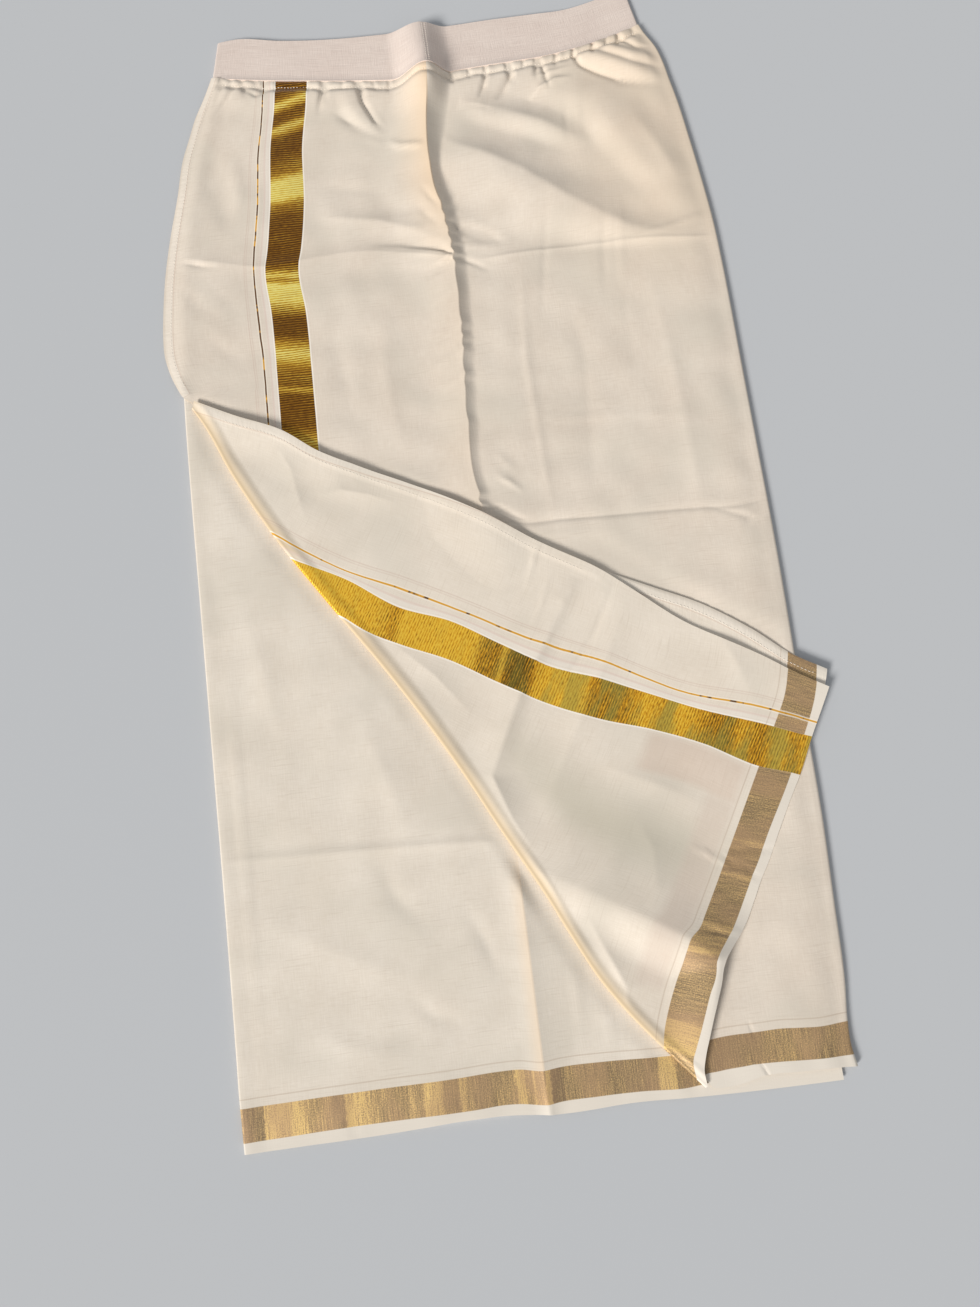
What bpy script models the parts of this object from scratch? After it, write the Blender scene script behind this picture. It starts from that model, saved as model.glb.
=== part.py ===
"""A ready-made dhoti with an elastic waistband, laid flat with one corner of its front turned back.

One length of cotton goes round nearly three times and is gathered into a knitted band. Seen from
above, the layers are the back, the inner front, the outer front, and the corner of the outer front
that is folded over to the right. X runs along the hem, Y up to the waist, Z up off the floor.
"""

import math
from collections import namedtuple

import bmesh
import bpy
import numpy as np

# Sizes are in millimetres, and the meshes are made in metres.
MM = 0.001

WALL = 1.0  # thickness of the cloth's wall
BAND_WALL = 1.6  # thickness of the knitted band
SEAM = 0.3  # gap between two pieces that are sewn together
FOLD_GAP = 0.5  # gap where one cloth runs on round a fold as the next piece
CREASE_GAP = 0.8  # the same gap under the slanting crease
LAYER_GAP = 0.5  # air between two layers that lie on each other
MARGIN_GAP = 0.6  # air under the tucked margin

BACK_TOP = 1.0
INNER_TOP = BACK_TOP + LAYER_GAP + WALL
LEFT_ROLL = 2.0  # outer radius of the fold between the back and the inner front
RIGHT_ROLL = 2.5  # outer radius of the fold between the back and the outer front
CREASE_ROLL = 2.25  # outer radius of the fold where the corner turns back
TIP_ROLL = 1.5  # the same fold at its upper end, where it is pressed flatter
ROLL_TAIL = 1.5  # flat strip that ends each roll
ROLL_RISE = 14.0  # how far from a fold the cloth starts to rise to it
ROLL_STEPS = 4
DROOP = 0.28  # fall of the free edge where it hangs over the left fold, per mm
DROOP_START = 1.5  # how far past the top of the roll it starts to fall
HANG_CLEAR = 0.5  # height over the floor at which its underside stops falling
FLAP_CLEAR = 0.1  # air under the turned corner beyond the usual
MARGIN_TUCK_START = 4.0  # how far the margin runs under the corner at its left end
MARGIN_TUCK_MORE = 12.0  # and how much further at its right end
MARGIN_START = 0.552  # share of the corner's upper edge at which the margin starts to show

WAIST_Y = 436.0  # seam under the band, at its middle
HEM_Y = -508.0
BAND_END = 209.0  # half the width of the band at its seam
BAND_TOP_END = 201.3  # half the width of the band at its upper edge
BAND_ROLL = 1.9  # outer radius of the band's folded ends
INNER_END = 225.0  # the inner front's hidden free end
INNER_CLEAR = 5.0  # room between that end and the roll at the right fold
TURN_TOP = 130.9  # where the corner starts to turn back
TURN_SHIFT_END = 124.0  # from here down the outer front is cut back to make room for the roll

PUCKERS = 30
PUCKER_REACH = 30.0  # how far down from the seam a pucker runs, and how much that varies
PUCKER_REACH_VARIES = 18.0
PUCKER_HEIGHT = 1.5
PUCKER_HEIGHT_VARIES = 0.6
PUCKER_HALF = 6.0  # half its width at the seam, and how much wider each mm below it
PUCKER_WIDENS = 0.08
PUCKER_CREST = 9.0  # how far below the seam it is highest
PUCKER_AT_SEAM = 0.35  # share of its height at the seam

# Spacing of the columns of points across the pieces, and of the first column past a roll.
SEAM_PITCH = 20.0
HANG_PITCH = 9.0
FLAP_PITCH = 21.0
DENSE_PITCH = 24.0
PLAIN_PITCH = 34.0
INNER_PITCH = 44.0
BACK_PITCH = 90.0
PAST_ROLL = 7.0
END_CLEAR = 2.0  # no column lies nearer than this to a row's end

Side = namedtuple("Side", "y left_fold right_fold")
SIDES = (
    Side(-512, -250.0, 239.0),
    Side(-502, -250.3, 238.2),
    Side(-483, -250.8, 235.6),
    Side(-467, -251.3, 236.3),
    Side(-437, -251.4, 240.0),
    Side(-374, -251.8, 243.2),
    Side(-309, -252.4, 246.2),
    Side(-214, -253.6, 247.3),
    Side(-75, -255.3, 249.6),
    Side(35, -256.8, 249.3),
    Side(111, -257.3, 249.0),
    Side(168, -256.5, 248.9),
    Side(210, -254.5, 248.4),
    Side(252, -251.0, 247.0),
    Side(295, -245.0, 243.5),
    Side(339, -236.0, 239.0),
    Side(384, -224.5, 233.6),
    Side(405, -218.0, 230.0),
    Side(425, -212.0, 226.8),
    Side(441, -207.5, 222.5),
    Side(460, -205.0, 213.0),
    Side(480, -203.0, 206.0),
)

Edge = namedtuple("Edge", "x y")
FREE_EDGE = (
    Edge(-257.9, 130.9),
    Edge(-266.6, 151.6),
    Edge(-271.7, 172.0),
    Edge(-272.4, 192.0),
    Edge(-271.2, 212.0),
    Edge(-267.0, 252.0),
    Edge(-259.8, 293.0),
    Edge(-250.7, 334.0),
    Edge(-242.4, 376.0),
    Edge(-235.3, 397.0),
    Edge(-228.2, 418.0),
    Edge(-218.1, 439.0),
    Edge(-209.5, 458.0),
)
CREASE = (
    Edge(-257.9, 130.9),
    Edge(-244.7, 109.8),
    Edge(-217.6, 48.9),
    Edge(-182.7, -16.0),
    Edge(-148.0, -70.6),
    Edge(-106.0, -133.6),
    Edge(-76.8, -180.8),
    Edge(-48.4, -231.0),
    Edge(-21.0, -284.6),
    Edge(9.0, -341.0),
    Edge(25.0, -375.0),
    Edge(44.3, -413.0),
    Edge(64.4, -442.6),
    Edge(88.2, -472.0),
    Edge(114.7, -502.7),
)
FLAP_EDGE = (
    Edge(-257.9, 130.9),
    Edge(-239.5, 120.8),
    Edge(-209.0, 104.4),
    Edge(-172.4, 87.3),
    Edge(-140.3, 63.2),
    Edge(-106.0, 44.7),
    Edge(-38.0, 9.9),
    Edge(-4.7, -10.2),
    Edge(44.3, -44.0),
    Edge(93.2, -74.8),
    Edge(124.5, -101.3),
    Edge(155.6, -127.6),
    Edge(187.3, -147.6),
    Edge(219.0, -166.5),
    Edge(242.2, -182.6),
    Edge(270.3, -200.0),
)
FLAP_HEM = (
    Edge(114.7, -502.7),
    Edge(113.6, -492.0),
    Edge(116.2, -480.5),
    Edge(121.6, -466.0),
    Edge(126.6, -453.0),
    Edge(131.8, -440.5),
    Edge(137.4, -426.5),
    Edge(141.0, -414.5),
    Edge(144.0, -408.6),
    Edge(152.2, -399.4),
    Edge(161.4, -389.8),
    Edge(168.0, -381.2),
    Edge(176.6, -366.5),
    Edge(184.6, -351.8),
    Edge(194.0, -337.0),
    Edge(207.2, -313.0),
    Edge(220.6, -289.8),
    Edge(232.8, -269.9),
    Edge(247.0, -242.4),
    Edge(259.7, -219.5),
    Edge(270.3, -200.0),
)
MARGIN_EDGE = (
    Edge(44.9, -43.0),
    Edge(93.6, -73.8),
    Edge(134.4, -94.4),
    Edge(175.2, -114.8),
    Edge(214.5, -142.0),
    Edge(244.9, -167.9),
    Edge(272.4, -184.5),
)
INNER_HEM = (
    Edge(-251.0, -508.0),
    Edge(-150.0, -507.0),
    Edge(-33.0, -505.5),
    Edge(-9.0, -508.0),
    Edge(63.0, -507.5),
    Edge(110.0, -509.6),
    Edge(207.0, -511.0),
    Edge(226.0, -511.0),
)
BACK_HEM = (
    Edge(-251.0, -507.0),
    Edge(-100.0, -505.5),
    Edge(150.0, -503.0),
    Edge(239.0, -501.5),
)
OUTER_HEM = (
    Edge(114.7, -502.7),
    Edge(127.0, -504.6),
    Edge(147.5, -503.0),
    Edge(160.0, -500.0),
    Edge(192.0, -500.0),
    Edge(224.6, -501.0),
    Edge(238.2, -502.0),
)
BAND_SEAM = (
    Edge(-209.0, 458.3),
    Edge(-156.3, 449.5),
    Edge(-119.4, 444.8),
    Edge(-67.7, 438.6),
    Edge(-36.9, 435.6),
    Edge(0.0, 436.0),
    Edge(25.0, 438.5),
    Edge(79.0, 442.0),
    Edge(106.0, 443.5),
    Edge(137.0, 447.8),
    Edge(160.0, 452.6),
    Edge(183.0, 458.9),
    Edge(209.0, 468.0),
)
BAND_TOP = (
    Edge(-201.3, 497.5),
    Edge(-184.6, 499.5),
    Edge(-141.0, 493.0),
    Edge(-82.6, 488.2),
    Edge(-38.0, 487.8),
    Edge(0.0, 488.5),
    Edge(50.9, 491.0),
    Edge(110.6, 493.0),
    Edge(140.5, 494.5),
    Edge(171.5, 501.8),
    Edge(187.0, 506.8),
    Edge(201.3, 511.0),
)

# A fold's crest runs through its rows. Left and right are its reach on each side of that way.
Fold = namedtuple("Fold", "x y height left right")
CENTRE_RIDGE = (
    Fold(3, -40, 0.0, 30, 10),
    Fold(-2, -12, 2.6, 32, 10),
    Fold(-5, 22, 3.8, 38, 10),
    Fold(-5, 60, 4.4, 42, 10),
    Fold(-2, 145, 5.6, 46, 11),
    Fold(1, 229, 7.2, 50, 12),
    Fold(-5, 286, 8.6, 56, 13),
    Fold(-9, 318, 9.6, 58, 14),
    Fold(-11, 352, 10.8, 56, 16),
    Fold(-9, 384, 12.4, 46, 19),
    Fold(-5, 410, 15.5, 38, 22),
    Fold(-3, 436, 19.5, 34, 25),
    Fold(-4, 462, 15.0, 34, 26),
    Fold(-5, 490, 10.0, 34, 28),
    Fold(-5, 520, 9.0, 34, 28),
)
SLANTING_FOLD = (
    Fold(4, 372, 0.0, 24, 50),
    Fold(26, 357, 4.6, 28, 62),
    Fold(58, 341, 6.2, 34, 72),
    Fold(104, 299, 6.0, 36, 76),
    Fold(153, 270, 4.4, 32, 66),
    Fold(205, 246, 1.6, 24, 40),
    Fold(232, 238, 0.0, 20, 30),
)
HIP_FOLD = (
    Fold(72, 428, 0.0, 22, 24),
    Fold(118, 415, 3.0, 34, 26),
    Fold(152, 386, 5.0, 44, 28),
    Fold(176, 346, 5.0, 46, 30),
    Fold(199, 306, 3.6, 40, 28),
    Fold(222, 262, 0.0, 30, 24),
)
WAIST_FOLD_RIGHT = (
    Fold(150, 452, 0.0, 14, 14),
    Fold(176, 432, 3.0, 15, 17),
    Fold(200, 424, 3.2, 15, 15),
    Fold(228, 408, 0.6, 12, 12),
)
WAIST_FOLD_LEFT = (
    Fold(-84, 440, 0.0, 14, 14),
    Fold(-78, 410, 2.6, 18, 14),
    Fold(-64, 384, 2.6, 20, 14),
    Fold(-40, 360, 0.0, 20, 14),
)
FRONT_FOLDS = (CENTRE_RIDGE, SLANTING_FOLD, HIP_FOLD, WAIST_FOLD_RIGHT, WAIST_FOLD_LEFT)

FLAP_EDGE_LIFT = (
    Fold(-252, 128, 0.6, 20, 20),
    Fold(-209, 104, 4.0, 30, 34),
    Fold(-172, 87, 5.0, 30, 44),
    Fold(-140, 63, 4.4, 30, 44),
    Fold(-106, 45, 2.8, 30, 40),
    Fold(-60, 21, 1.6, 30, 40),
    Fold(-10, -7, 1.5, 30, 50),
    Fold(44, -44, 1.8, 30, 50),
    Fold(93, -75, 2.0, 34, 60),
    Fold(170, -137, 2.2, 30, 60),
    Fold(240, -181, 2.2, 30, 60),
    Fold(272, -201, 2.0, 30, 60),
)
FLAP_RIDGE = (
    Fold(-24, -306, 0.0, 40, 20),
    Fold(24, -328, 2.4, 60, 32),
    Fold(54, -343, 3.6, 70, 36),
    Fold(85, -359, 5.0, 70, 40),
    Fold(122, -388, 7.6, 60, 42),
    Fold(144, -414, 10.5, 50, 46),
    Fold(131, -446, 8.5, 30, 44),
    Fold(119, -478, 4.5, 30, 34),
    Fold(115, -503, 0.6, 30, 20),
)
FLAP_BRIDGE = (
    Fold(-6, 20, 4.6, 52, 60),
    Fold(-3, -14, 3.8, 52, 60),
    Fold(6, -52, 2.0, 40, 44),
    Fold(14, -86, 0.0, 30, 30),
)

# Heights in the middle at which the rows of the wrapped panels lie, from the seam down.
ROWS_UNDER_BAND = (436.0, 431.0, 423.0, 411.0, 396.0)
SEAM_BEND_END = 290.0  # rows above this bend with the seam, and rows below the next with the hem
HEM_BEND_END = -412.0
RIDGE_END = -40.0  # rows below this need no columns for the centre ridge
ROWS_TO_HEM = (376, 354, 330, 304, 276, 246, 214, 184, 156, 131, 124, 104, 70, 34, 0, -40, -90,
               -140, -190, -240, -290, -336, -378, -414, -444, -468, -488, -508)
# Shares of the crease, from its upper end, at which the turned corner has its rows.
FLAP_ROWS = (0.02, 0.035, 0.055, 0.08, 0.11, 0.15, 0.19, 0.235, 0.28, 0.325, 0.37, 0.415, 0.46, 0.5,
             0.54, 0.58, 0.62, 0.66, 0.7, 0.735, 0.77, 0.8, 0.83, 0.86, 0.89, 0.915, 0.94, 0.96, 0.98,
             1.0)
MARGIN_ROWS = 15
BAND_ROWS = (0.0, 0.25, 0.5, 0.75, 1.0)  # shares of the band's height
BAND_RIDGE = (-38, -31, -25, -19, -14, -9, -4, 1, 6, 11, 16, 21, 26)  # its columns over the ridge


def read(table, column, at, value):
    """Value of one column where another has the value at, on a smooth curve through the rows."""
    xs = np.array([getattr(row, at) for row in table], float)
    ys = np.array([getattr(row, column) for row in table], float)
    if xs[0] > xs[-1]:
        xs, ys = xs[::-1], ys[::-1]
    slopes = np.gradient(ys, xs)
    value = np.clip(value, xs[0], xs[-1])
    i = np.clip(np.searchsorted(xs, value) - 1, 0, len(xs) - 2)
    span = xs[i + 1] - xs[i]
    u = (value - xs[i]) / span
    return (
        ys[i] * (1 + 2 * u) * (1 - u) ** 2
        + ys[i + 1] * u * u * (3 - 2 * u)
        + span * (slopes[i] * u * (1 - u) ** 2 - slopes[i + 1] * u * u * (1 - u))
    )


# A place on a curve, and the share of the curve's length at which it lies.
Run = namedtuple("Run", "run x y")


def along(table, share):
    """Point at this share of the length of a smooth curve through the table's places."""
    places = np.array([(row.x, row.y) for row in table], float)
    steps = np.hypot(*np.diff(places, axis=0).T)
    run = np.concatenate([[0.0], np.cumsum(steps)]) / steps.sum()
    rows = [Run(r, x, y) for r, (x, y) in zip(run, places)]
    return np.array([read(rows, "x", "run", share), read(rows, "y", "run", share)])


def ease(value, start, end):
    """Goes smoothly from 0 at start to 1 at end."""
    u = np.clip((value - start) / (end - start), 0.0, 1.0)
    return u * u * (3 - 2 * u)


def raised(fold, x, y):
    """Height that one fold gives the cloth at a place."""
    nearest, height = math.inf, 0.0
    for a, b in zip(fold, fold[1:]):
        way = (b.x - a.x, b.y - a.y)
        off = (x - a.x, y - a.y)
        u = (off[0] * way[0] + off[1] * way[1]) / (way[0] ** 2 + way[1] ** 2)
        u = min(1.0, max(0.0, u))
        apart = math.hypot(off[0] - u * way[0], off[1] - u * way[1])
        if apart >= nearest:
            continue
        nearest = apart
        is_left = way[0] * off[1] - way[1] * off[0] > 0
        reach_a, reach_b = (a.left, b.left) if is_left else (a.right, b.right)
        reach = reach_a + u * (reach_b - reach_a)
        crest = a.height + u * (b.height - a.height)
        height = crest * (0.5 + 0.5 * math.cos(math.pi * min(1.0, apart / reach)))
    return height


def pucker_place(i):
    """Distance along the seam of one pucker. They are unevenly spaced, as gathering leaves them."""
    pitch = 2 * BAND_END / PUCKERS
    return -BAND_END + pitch * (i + 0.5 + 0.2 * math.sin(2.4 * i))


def gathers(x, below):
    """Height of the gathering at a distance below the seam."""
    height = 0.0
    for i in range(PUCKERS):
        reach = PUCKER_REACH + PUCKER_REACH_VARIES * math.sin(1.7 * i + 1.0)
        crest = PUCKER_HEIGHT + PUCKER_HEIGHT_VARIES * math.sin(3.1 * i)
        apart = abs(x - pucker_place(i)) / (PUCKER_HALF + PUCKER_WIDENS * below)
        if apart < 1.0 and below < reach:
            swell = PUCKER_AT_SEAM + (1 - PUCKER_AT_SEAM) * ease(below, 0.0, PUCKER_CREST)
            swell *= 1 - ease(below, PUCKER_CREST, reach)
            height += crest * swell * (0.5 + 0.5 * math.cos(math.pi * apart))
    return height


def row_y(row, x, hem):
    """Rows follow the curved seam near the band, the hem near the hem, and are level between."""
    seam_share = ease(row, SEAM_BEND_END, ROWS_UNDER_BAND[-1])
    hem_share = 1.0 - ease(row, HEM_Y, HEM_BEND_END)
    seam_rise = seam_y(x) - WAIST_Y
    hem_rise = read(hem, "y", "x", x) - HEM_Y
    return row + seam_share * seam_rise + hem_share * hem_rise


def left_fold(y):
    return read(SIDES, "left_fold", "y", y)


def right_fold(y):
    return read(SIDES, "right_fold", "y", y)


def inner_top(x, y):
    """Upper face of the inner front: flat on the back, rising to the roll at the left fold."""
    from_roll = x - left_fold(y) - LEFT_ROLL
    return INNER_TOP + (2 * LEFT_ROLL - INNER_TOP) * (1 - ease(from_roll, 0.0, ROLL_RISE))


def outer_under(x, y):
    """Lower face of the outer front, lying on the inner front, with its folds."""
    left, right = left_fold(y) + LEFT_ROLL, right_fold(y) - RIGHT_ROLL
    level = inner_top(max(x, left), y) + LAYER_GAP
    level -= min(level - HANG_CLEAR, DROOP * max(0.0, left - DROOP_START - x))
    flat = INNER_TOP + LAYER_GAP
    level += (2 * RIGHT_ROLL - WALL - flat) * ease(x, right - ROLL_RISE, right)
    inside = ease(right - x, 0.0, ROLL_RISE) * ease(x - left, -ROLL_RISE / 2, ROLL_RISE)
    folds = max(raised(fold, x, y) for fold in FRONT_FOLDS)
    below = seam_y(x) - y
    return level + inside * (folds + gathers(x, max(0.0, below)))


def outer_top(x, y):
    return outer_under(x, y) + WALL


def flap_under(x, y):
    """Lower face of the turned corner, lying on the outer front."""
    held_x = min(x, right_fold(y) - RIGHT_ROLL)
    on_folds = max(outer_top(held_x, y), INNER_TOP + LAYER_GAP + WALL + raised(FLAP_BRIDGE, x, y))
    lift = max(raised(FLAP_EDGE_LIFT, x, y), raised(FLAP_RIDGE, x, y))
    return on_folds + LAYER_GAP + FLAP_CLEAR + lift


# A row's point: its place, and its key. Points of two rows with equal keys are joined.
Point = namedtuple("Point", "key x y z")


def half_circle(radius):
    """Reach outward and height of points round a fold, from its underside up to its top."""
    angles = [math.pi * (step / ROLL_STEPS - 0.5) for step in range(ROLL_STEPS + 1)]
    return [(radius * math.cos(angle), radius + radius * math.sin(angle)) for angle in angles]


def side_roll(centre, radius):
    """Places across a fold at the side: up round a left one, radius below 0, or down a right one."""
    points = [(centre + math.copysign(reach, radius), z) for reach, z in half_circle(abs(radius))]
    return points if radius < 0 else points[::-1]


def spread(start, end, pitch):
    """Evenly spaced values from start to end, no further apart than about one pitch."""
    return list(np.linspace(start, end, max(2, round((end - start) / pitch) + 1)))


def seam_columns(start, end):
    """Columns that every piece has in common along the seam, between its own two ends."""
    inner = [SEAM_PITCH * i for i in range(-10, 11)]
    return [start, *[x for x in inner if start + END_CLEAR < x < end - END_CLEAR], end]


def seam_y(x):
    """The seam runs straight from each shared column to the next, so that both sides of it fit."""
    marks = seam_columns(-BAND_END, BAND_END)
    return float(np.interp(x, marks, [read(BAND_SEAM, "y", "x", mark) for mark in marks]))


def gather_columns(start, end, finer):
    """Columns at each pucker's crest and between crests, and halfway again where it is finer."""
    crests = [pucker_place(i) for i in range(PUCKERS)]
    marks = sorted(crests + [(a + b) / 2 for a, b in zip(crests, crests[1:])])
    if finer:
        marks = sorted(marks + [(a + b) / 2 for a, b in zip(marks, marks[1:])])
    return [start, *[x for x in marks if start + END_CLEAR < x < end - END_CLEAR], end]


def ridge_columns(start, end, y):
    """Columns close together over the centre ridge, and wider apart on both sides of it."""
    crest = read(CENTRE_RIDGE, "x", "y", y)
    left = read(CENTRE_RIDGE, "left", "y", y)
    right = read(CENTRE_RIDGE, "right", "y", y)
    middle = [crest + left * share for share in (-1.0, -0.72, -0.46, -0.22, 0.0)]
    middle += [crest + right * share for share in (0.4, 0.7, 1.0)]
    if y < RIDGE_END or start > middle[0] - HANG_PITCH:
        return spread(start, end, PLAIN_PITCH)
    return spread(start, middle[0], DENSE_PITCH)[:-1] + middle + spread(middle[-1], end, DENSE_PITCH)[1:]


def outer_columns(row, start, end):
    """Columns of one row of the outer front, from its left end to where the right roll starts."""
    columns = [start]
    if row > TURN_TOP:
        roll = left_fold(row_y(row, start, OUTER_HEM)) + LEFT_ROLL
        columns = spread(start, roll, HANG_PITCH) + [roll + ROLL_RISE / 2, roll + ROLL_RISE]
    if row >= ROWS_UNDER_BAND[3]:
        columns += gather_columns(columns[-1], end, finer=row >= ROWS_UNDER_BAND[2])[1:]
    else:
        columns += ridge_columns(columns[-1], end - ROLL_RISE, row)[1:] + [end - ROLL_RISE / 2, end]
    return columns


def outer_key(x, y):
    """Key that keeps columns together along the two side folds and the centre ridge."""
    left, right = left_fold(y) + LEFT_ROLL, right_fold(y) - RIGHT_ROLL
    crest = read(CENTRE_RIDGE, "x", "y", y)
    marks = (left - SEAM_PITCH, left, left + ROLL_RISE, crest - read(CENTRE_RIDGE, "left", "y", y), crest,
             crest + read(CENTRE_RIDGE, "right", "y", y), right - ROLL_RISE, right)
    return float(np.interp(x, marks, range(len(marks))))


def join_rows(bm, low, high, low_keys, high_keys):
    """Fills the strip between two rows of vertices, whose counts may differ."""
    i = j = 0
    while i < len(low) - 1 or j < len(high) - 1:
        next_low = low_keys[i + 1] if i < len(low) - 1 else math.inf
        next_high = high_keys[j + 1] if j < len(high) - 1 else math.inf
        if next_low <= next_high:
            bm.faces.new((low[i], low[i + 1], high[j]))
            i += 1
        else:
            bm.faces.new((low[i], high[j + 1], high[j]))
            j += 1


def cloth_material(name, colour, roughness):
    material = bpy.data.materials.new(name)
    material.use_nodes = True
    shader = material.node_tree.nodes["Principled BSDF"]
    shader.inputs["Base Color"].default_value = (*colour, 1.0)
    shader.inputs["Roughness"].default_value = roughness
    shader.inputs["Metallic"].default_value = 0.0
    return material


def add_sheet(name, rows, material, wall=WALL, ring=False):
    """A piece of cloth from rows of points on its outer face, from hem to waist."""
    bm = bmesh.new()
    lines = [[bm.verts.new((p.x * MM, p.y * MM, p.z * MM)) for p in row] for row in rows]
    keys = [[p.key for p in row] for row in rows]
    for i in range(len(rows) - 1):
        join_rows(bm, lines[i], lines[i + 1], keys[i], keys[i + 1])
        if ring:
            bm.faces.new((lines[i][-1], lines[i][0], lines[i + 1][0], lines[i + 1][-1]))
    for face in bm.faces:
        face.smooth = True
    mesh = bpy.data.meshes.new(name)
    bm.to_mesh(mesh)
    bm.free()
    mesh.materials.append(material)
    piece = bpy.data.objects.new(name, mesh)
    bpy.context.scene.collection.objects.link(piece)
    thicken = piece.modifiers.new("cloth wall", "SOLIDIFY")
    thicken.thickness = wall * MM
    thicken.offset = -1.0
    thicken.use_even_offset = True
    return piece


def panel_rows():
    """The rows that all wrapped panels share, from the hem to the seam."""
    return sorted(ROWS_TO_HEM + ROWS_UNDER_BAND)


def seam_gap(row):
    """The row that is sewn to the band stops short of it by the gap between two pieces."""
    return SEAM if row == WAIST_Y else 0.0


def back_panel(material):
    """The layer on the floor, between the two side folds."""
    rows = []
    for row in panel_rows():
        start = left_fold(row_y(row, -BAND_END, BACK_HEM)) + LEFT_ROLL + ROLL_TAIL + FOLD_GAP
        end = right_fold(row_y(row, BAND_END, BACK_HEM)) - RIGHT_ROLL - ROLL_TAIL - FOLD_GAP
        columns = seam_columns(start, end) if row in ROWS_UNDER_BAND else spread(start, end, BACK_PITCH)
        points = []
        for x in columns:
            key = (x - start) / (end - start)
            points.append(Point(key, x, row_y(row, x, BACK_HEM) - seam_gap(row), BACK_TOP))
        rows.append(points)
    return add_sheet("back_panel", rows, material)


def inner_front(material):
    """The second layer: it rolls up at the left fold and ends free inside the right one."""
    rows = []
    for row in panel_rows():
        centre = left_fold(row_y(row, -BAND_END, INNER_HEM)) + LEFT_ROLL
        points = [(centre + ROLL_TAIL, 0.0)] + side_roll(centre, -LEFT_ROLL)
        keys = list(range(len(points)))
        end = right_fold(row_y(row, BAND_END, INNER_HEM)) - RIGHT_ROLL - ROLL_TAIL - INNER_CLEAR
        end = min(INNER_END, end)
        level = centre + ROLL_RISE
        inner = seam_columns(level, end) if row in ROWS_UNDER_BAND else spread(level, end, INNER_PITCH)
        for x in [centre + ROLL_RISE / 2] + inner:
            points.append((x, inner_top(x, row_y(row, x, INNER_HEM))))
            keys.append(len(keys) if x <= level else keys[-1] + (x - level) / (end - level))
        rows.append([
            Point(key, x, row_y(row, x, INNER_HEM) - seam_gap(row), z)
            for key, (x, z) in zip(keys, points)
        ])
    return add_sheet("inner_front", rows, material)


def crease_inset(y):
    """How far along X the outer front's cut lies from the crease, to leave room for its roll."""
    step = 2.0
    y = min(max(y, CREASE[-1].y + step), CREASE[0].y - step)
    slope = (read(CREASE, "x", "y", y + step) - read(CREASE, "x", "y", y - step)) / (2 * step)
    return (CREASE_ROLL + ROLL_TAIL + CREASE_GAP) * math.hypot(1.0, slope)


def outer_left(y):
    """Left end of the outer front: its free edge, and below the turn the crease."""
    if y >= TURN_TOP:
        return read(FREE_EDGE, "x", "y", y)
    shift = ease(-y, -TURN_TOP, -TURN_SHIFT_END)
    return read(CREASE, "x", "y", y) + shift * crease_inset(y)


def outer_front(material):
    """The top layer, from its free edge or the crease to the roll at the right fold."""
    rows = []
    for row in panel_rows():
        start = outer_left(row_y(row, -BAND_END, OUTER_HEM))
        if row < HEM_BEND_END:
            start = outer_left(row_y(row, start, OUTER_HEM))
        end_y = row_y(row, BAND_END, OUTER_HEM)
        end = right_fold(end_y) - RIGHT_ROLL
        points = []
        for x in outer_columns(row, start, end)[:-1]:
            y = row_y(row, x, OUTER_HEM)
            points.append(Point(outer_key(x, y), x, y - seam_gap(row), outer_top(x, y)))
        key = outer_key(end, end_y)
        for x, z in side_roll(end, RIGHT_ROLL) + [(end - ROLL_TAIL, 0.0)]:
            key += 1.0
            points.append(Point(key, x, row_y(row, x, OUTER_HEM) - seam_gap(row), z))
        rows.append(points)
    return add_sheet("outer_front", rows, material)


def flap_place(share, across):
    """Place on the turned corner: share runs from its tip to its hem, across from crease to edge."""
    chord = (1 - across) * along(FLAP_HEM, 0.0) + across * along(FLAP_HEM, 1.0)
    bulge = along(FLAP_HEM, across) - chord
    place = (1 - across) * along(CREASE, share) + across * along(FLAP_EDGE, share)
    return place + bulge * share**4


def turned_flap(material):
    """The corner of the outer front, rolled over at the crease and lying wrong side up."""
    step = FLAP_ROWS[0] / 2
    rows = []
    for share in FLAP_ROWS:
        way = along(CREASE, min(1.0, share + step)) - along(CREASE, share - step)
        way /= np.hypot(*way)
        out = np.array([way[1], -way[0]])
        roll = TIP_ROLL + (CREASE_ROLL - TIP_ROLL) * ease(share, FLAP_ROWS[0], 4 * FLAP_ROWS[0])
        centre = along(CREASE, share) - out * roll
        low = outer_under(*centre)
        tail = centre - out * ROLL_TAIL
        points = [Point(0, *tail, low)]
        for reach, z in half_circle(roll):
            points.append(Point(len(points), *(centre + out * reach), low + z))
        flat_key = len(points)
        length = np.hypot(*(along(FLAP_EDGE, share) - centre))
        columns = spread(0.0, length, FLAP_PITCH)
        if length > 2 * FLAP_PITCH:
            columns = sorted(columns + [PAST_ROLL])
        for from_roll in columns[1:]:
            across = from_roll / length
            place = flap_place(share, across) + (1 - across) * (centre - along(CREASE, share))
            crown = (2 * roll - 2 * WALL - LAYER_GAP) * (1 - ease(from_roll, 0.0, ROLL_RISE))
            points.append(Point(flat_key + across, *place, flap_under(*place) + WALL + crown))
        rows.append(points)
    return add_sheet("turned_flap", rows[::-1], material)


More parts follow.
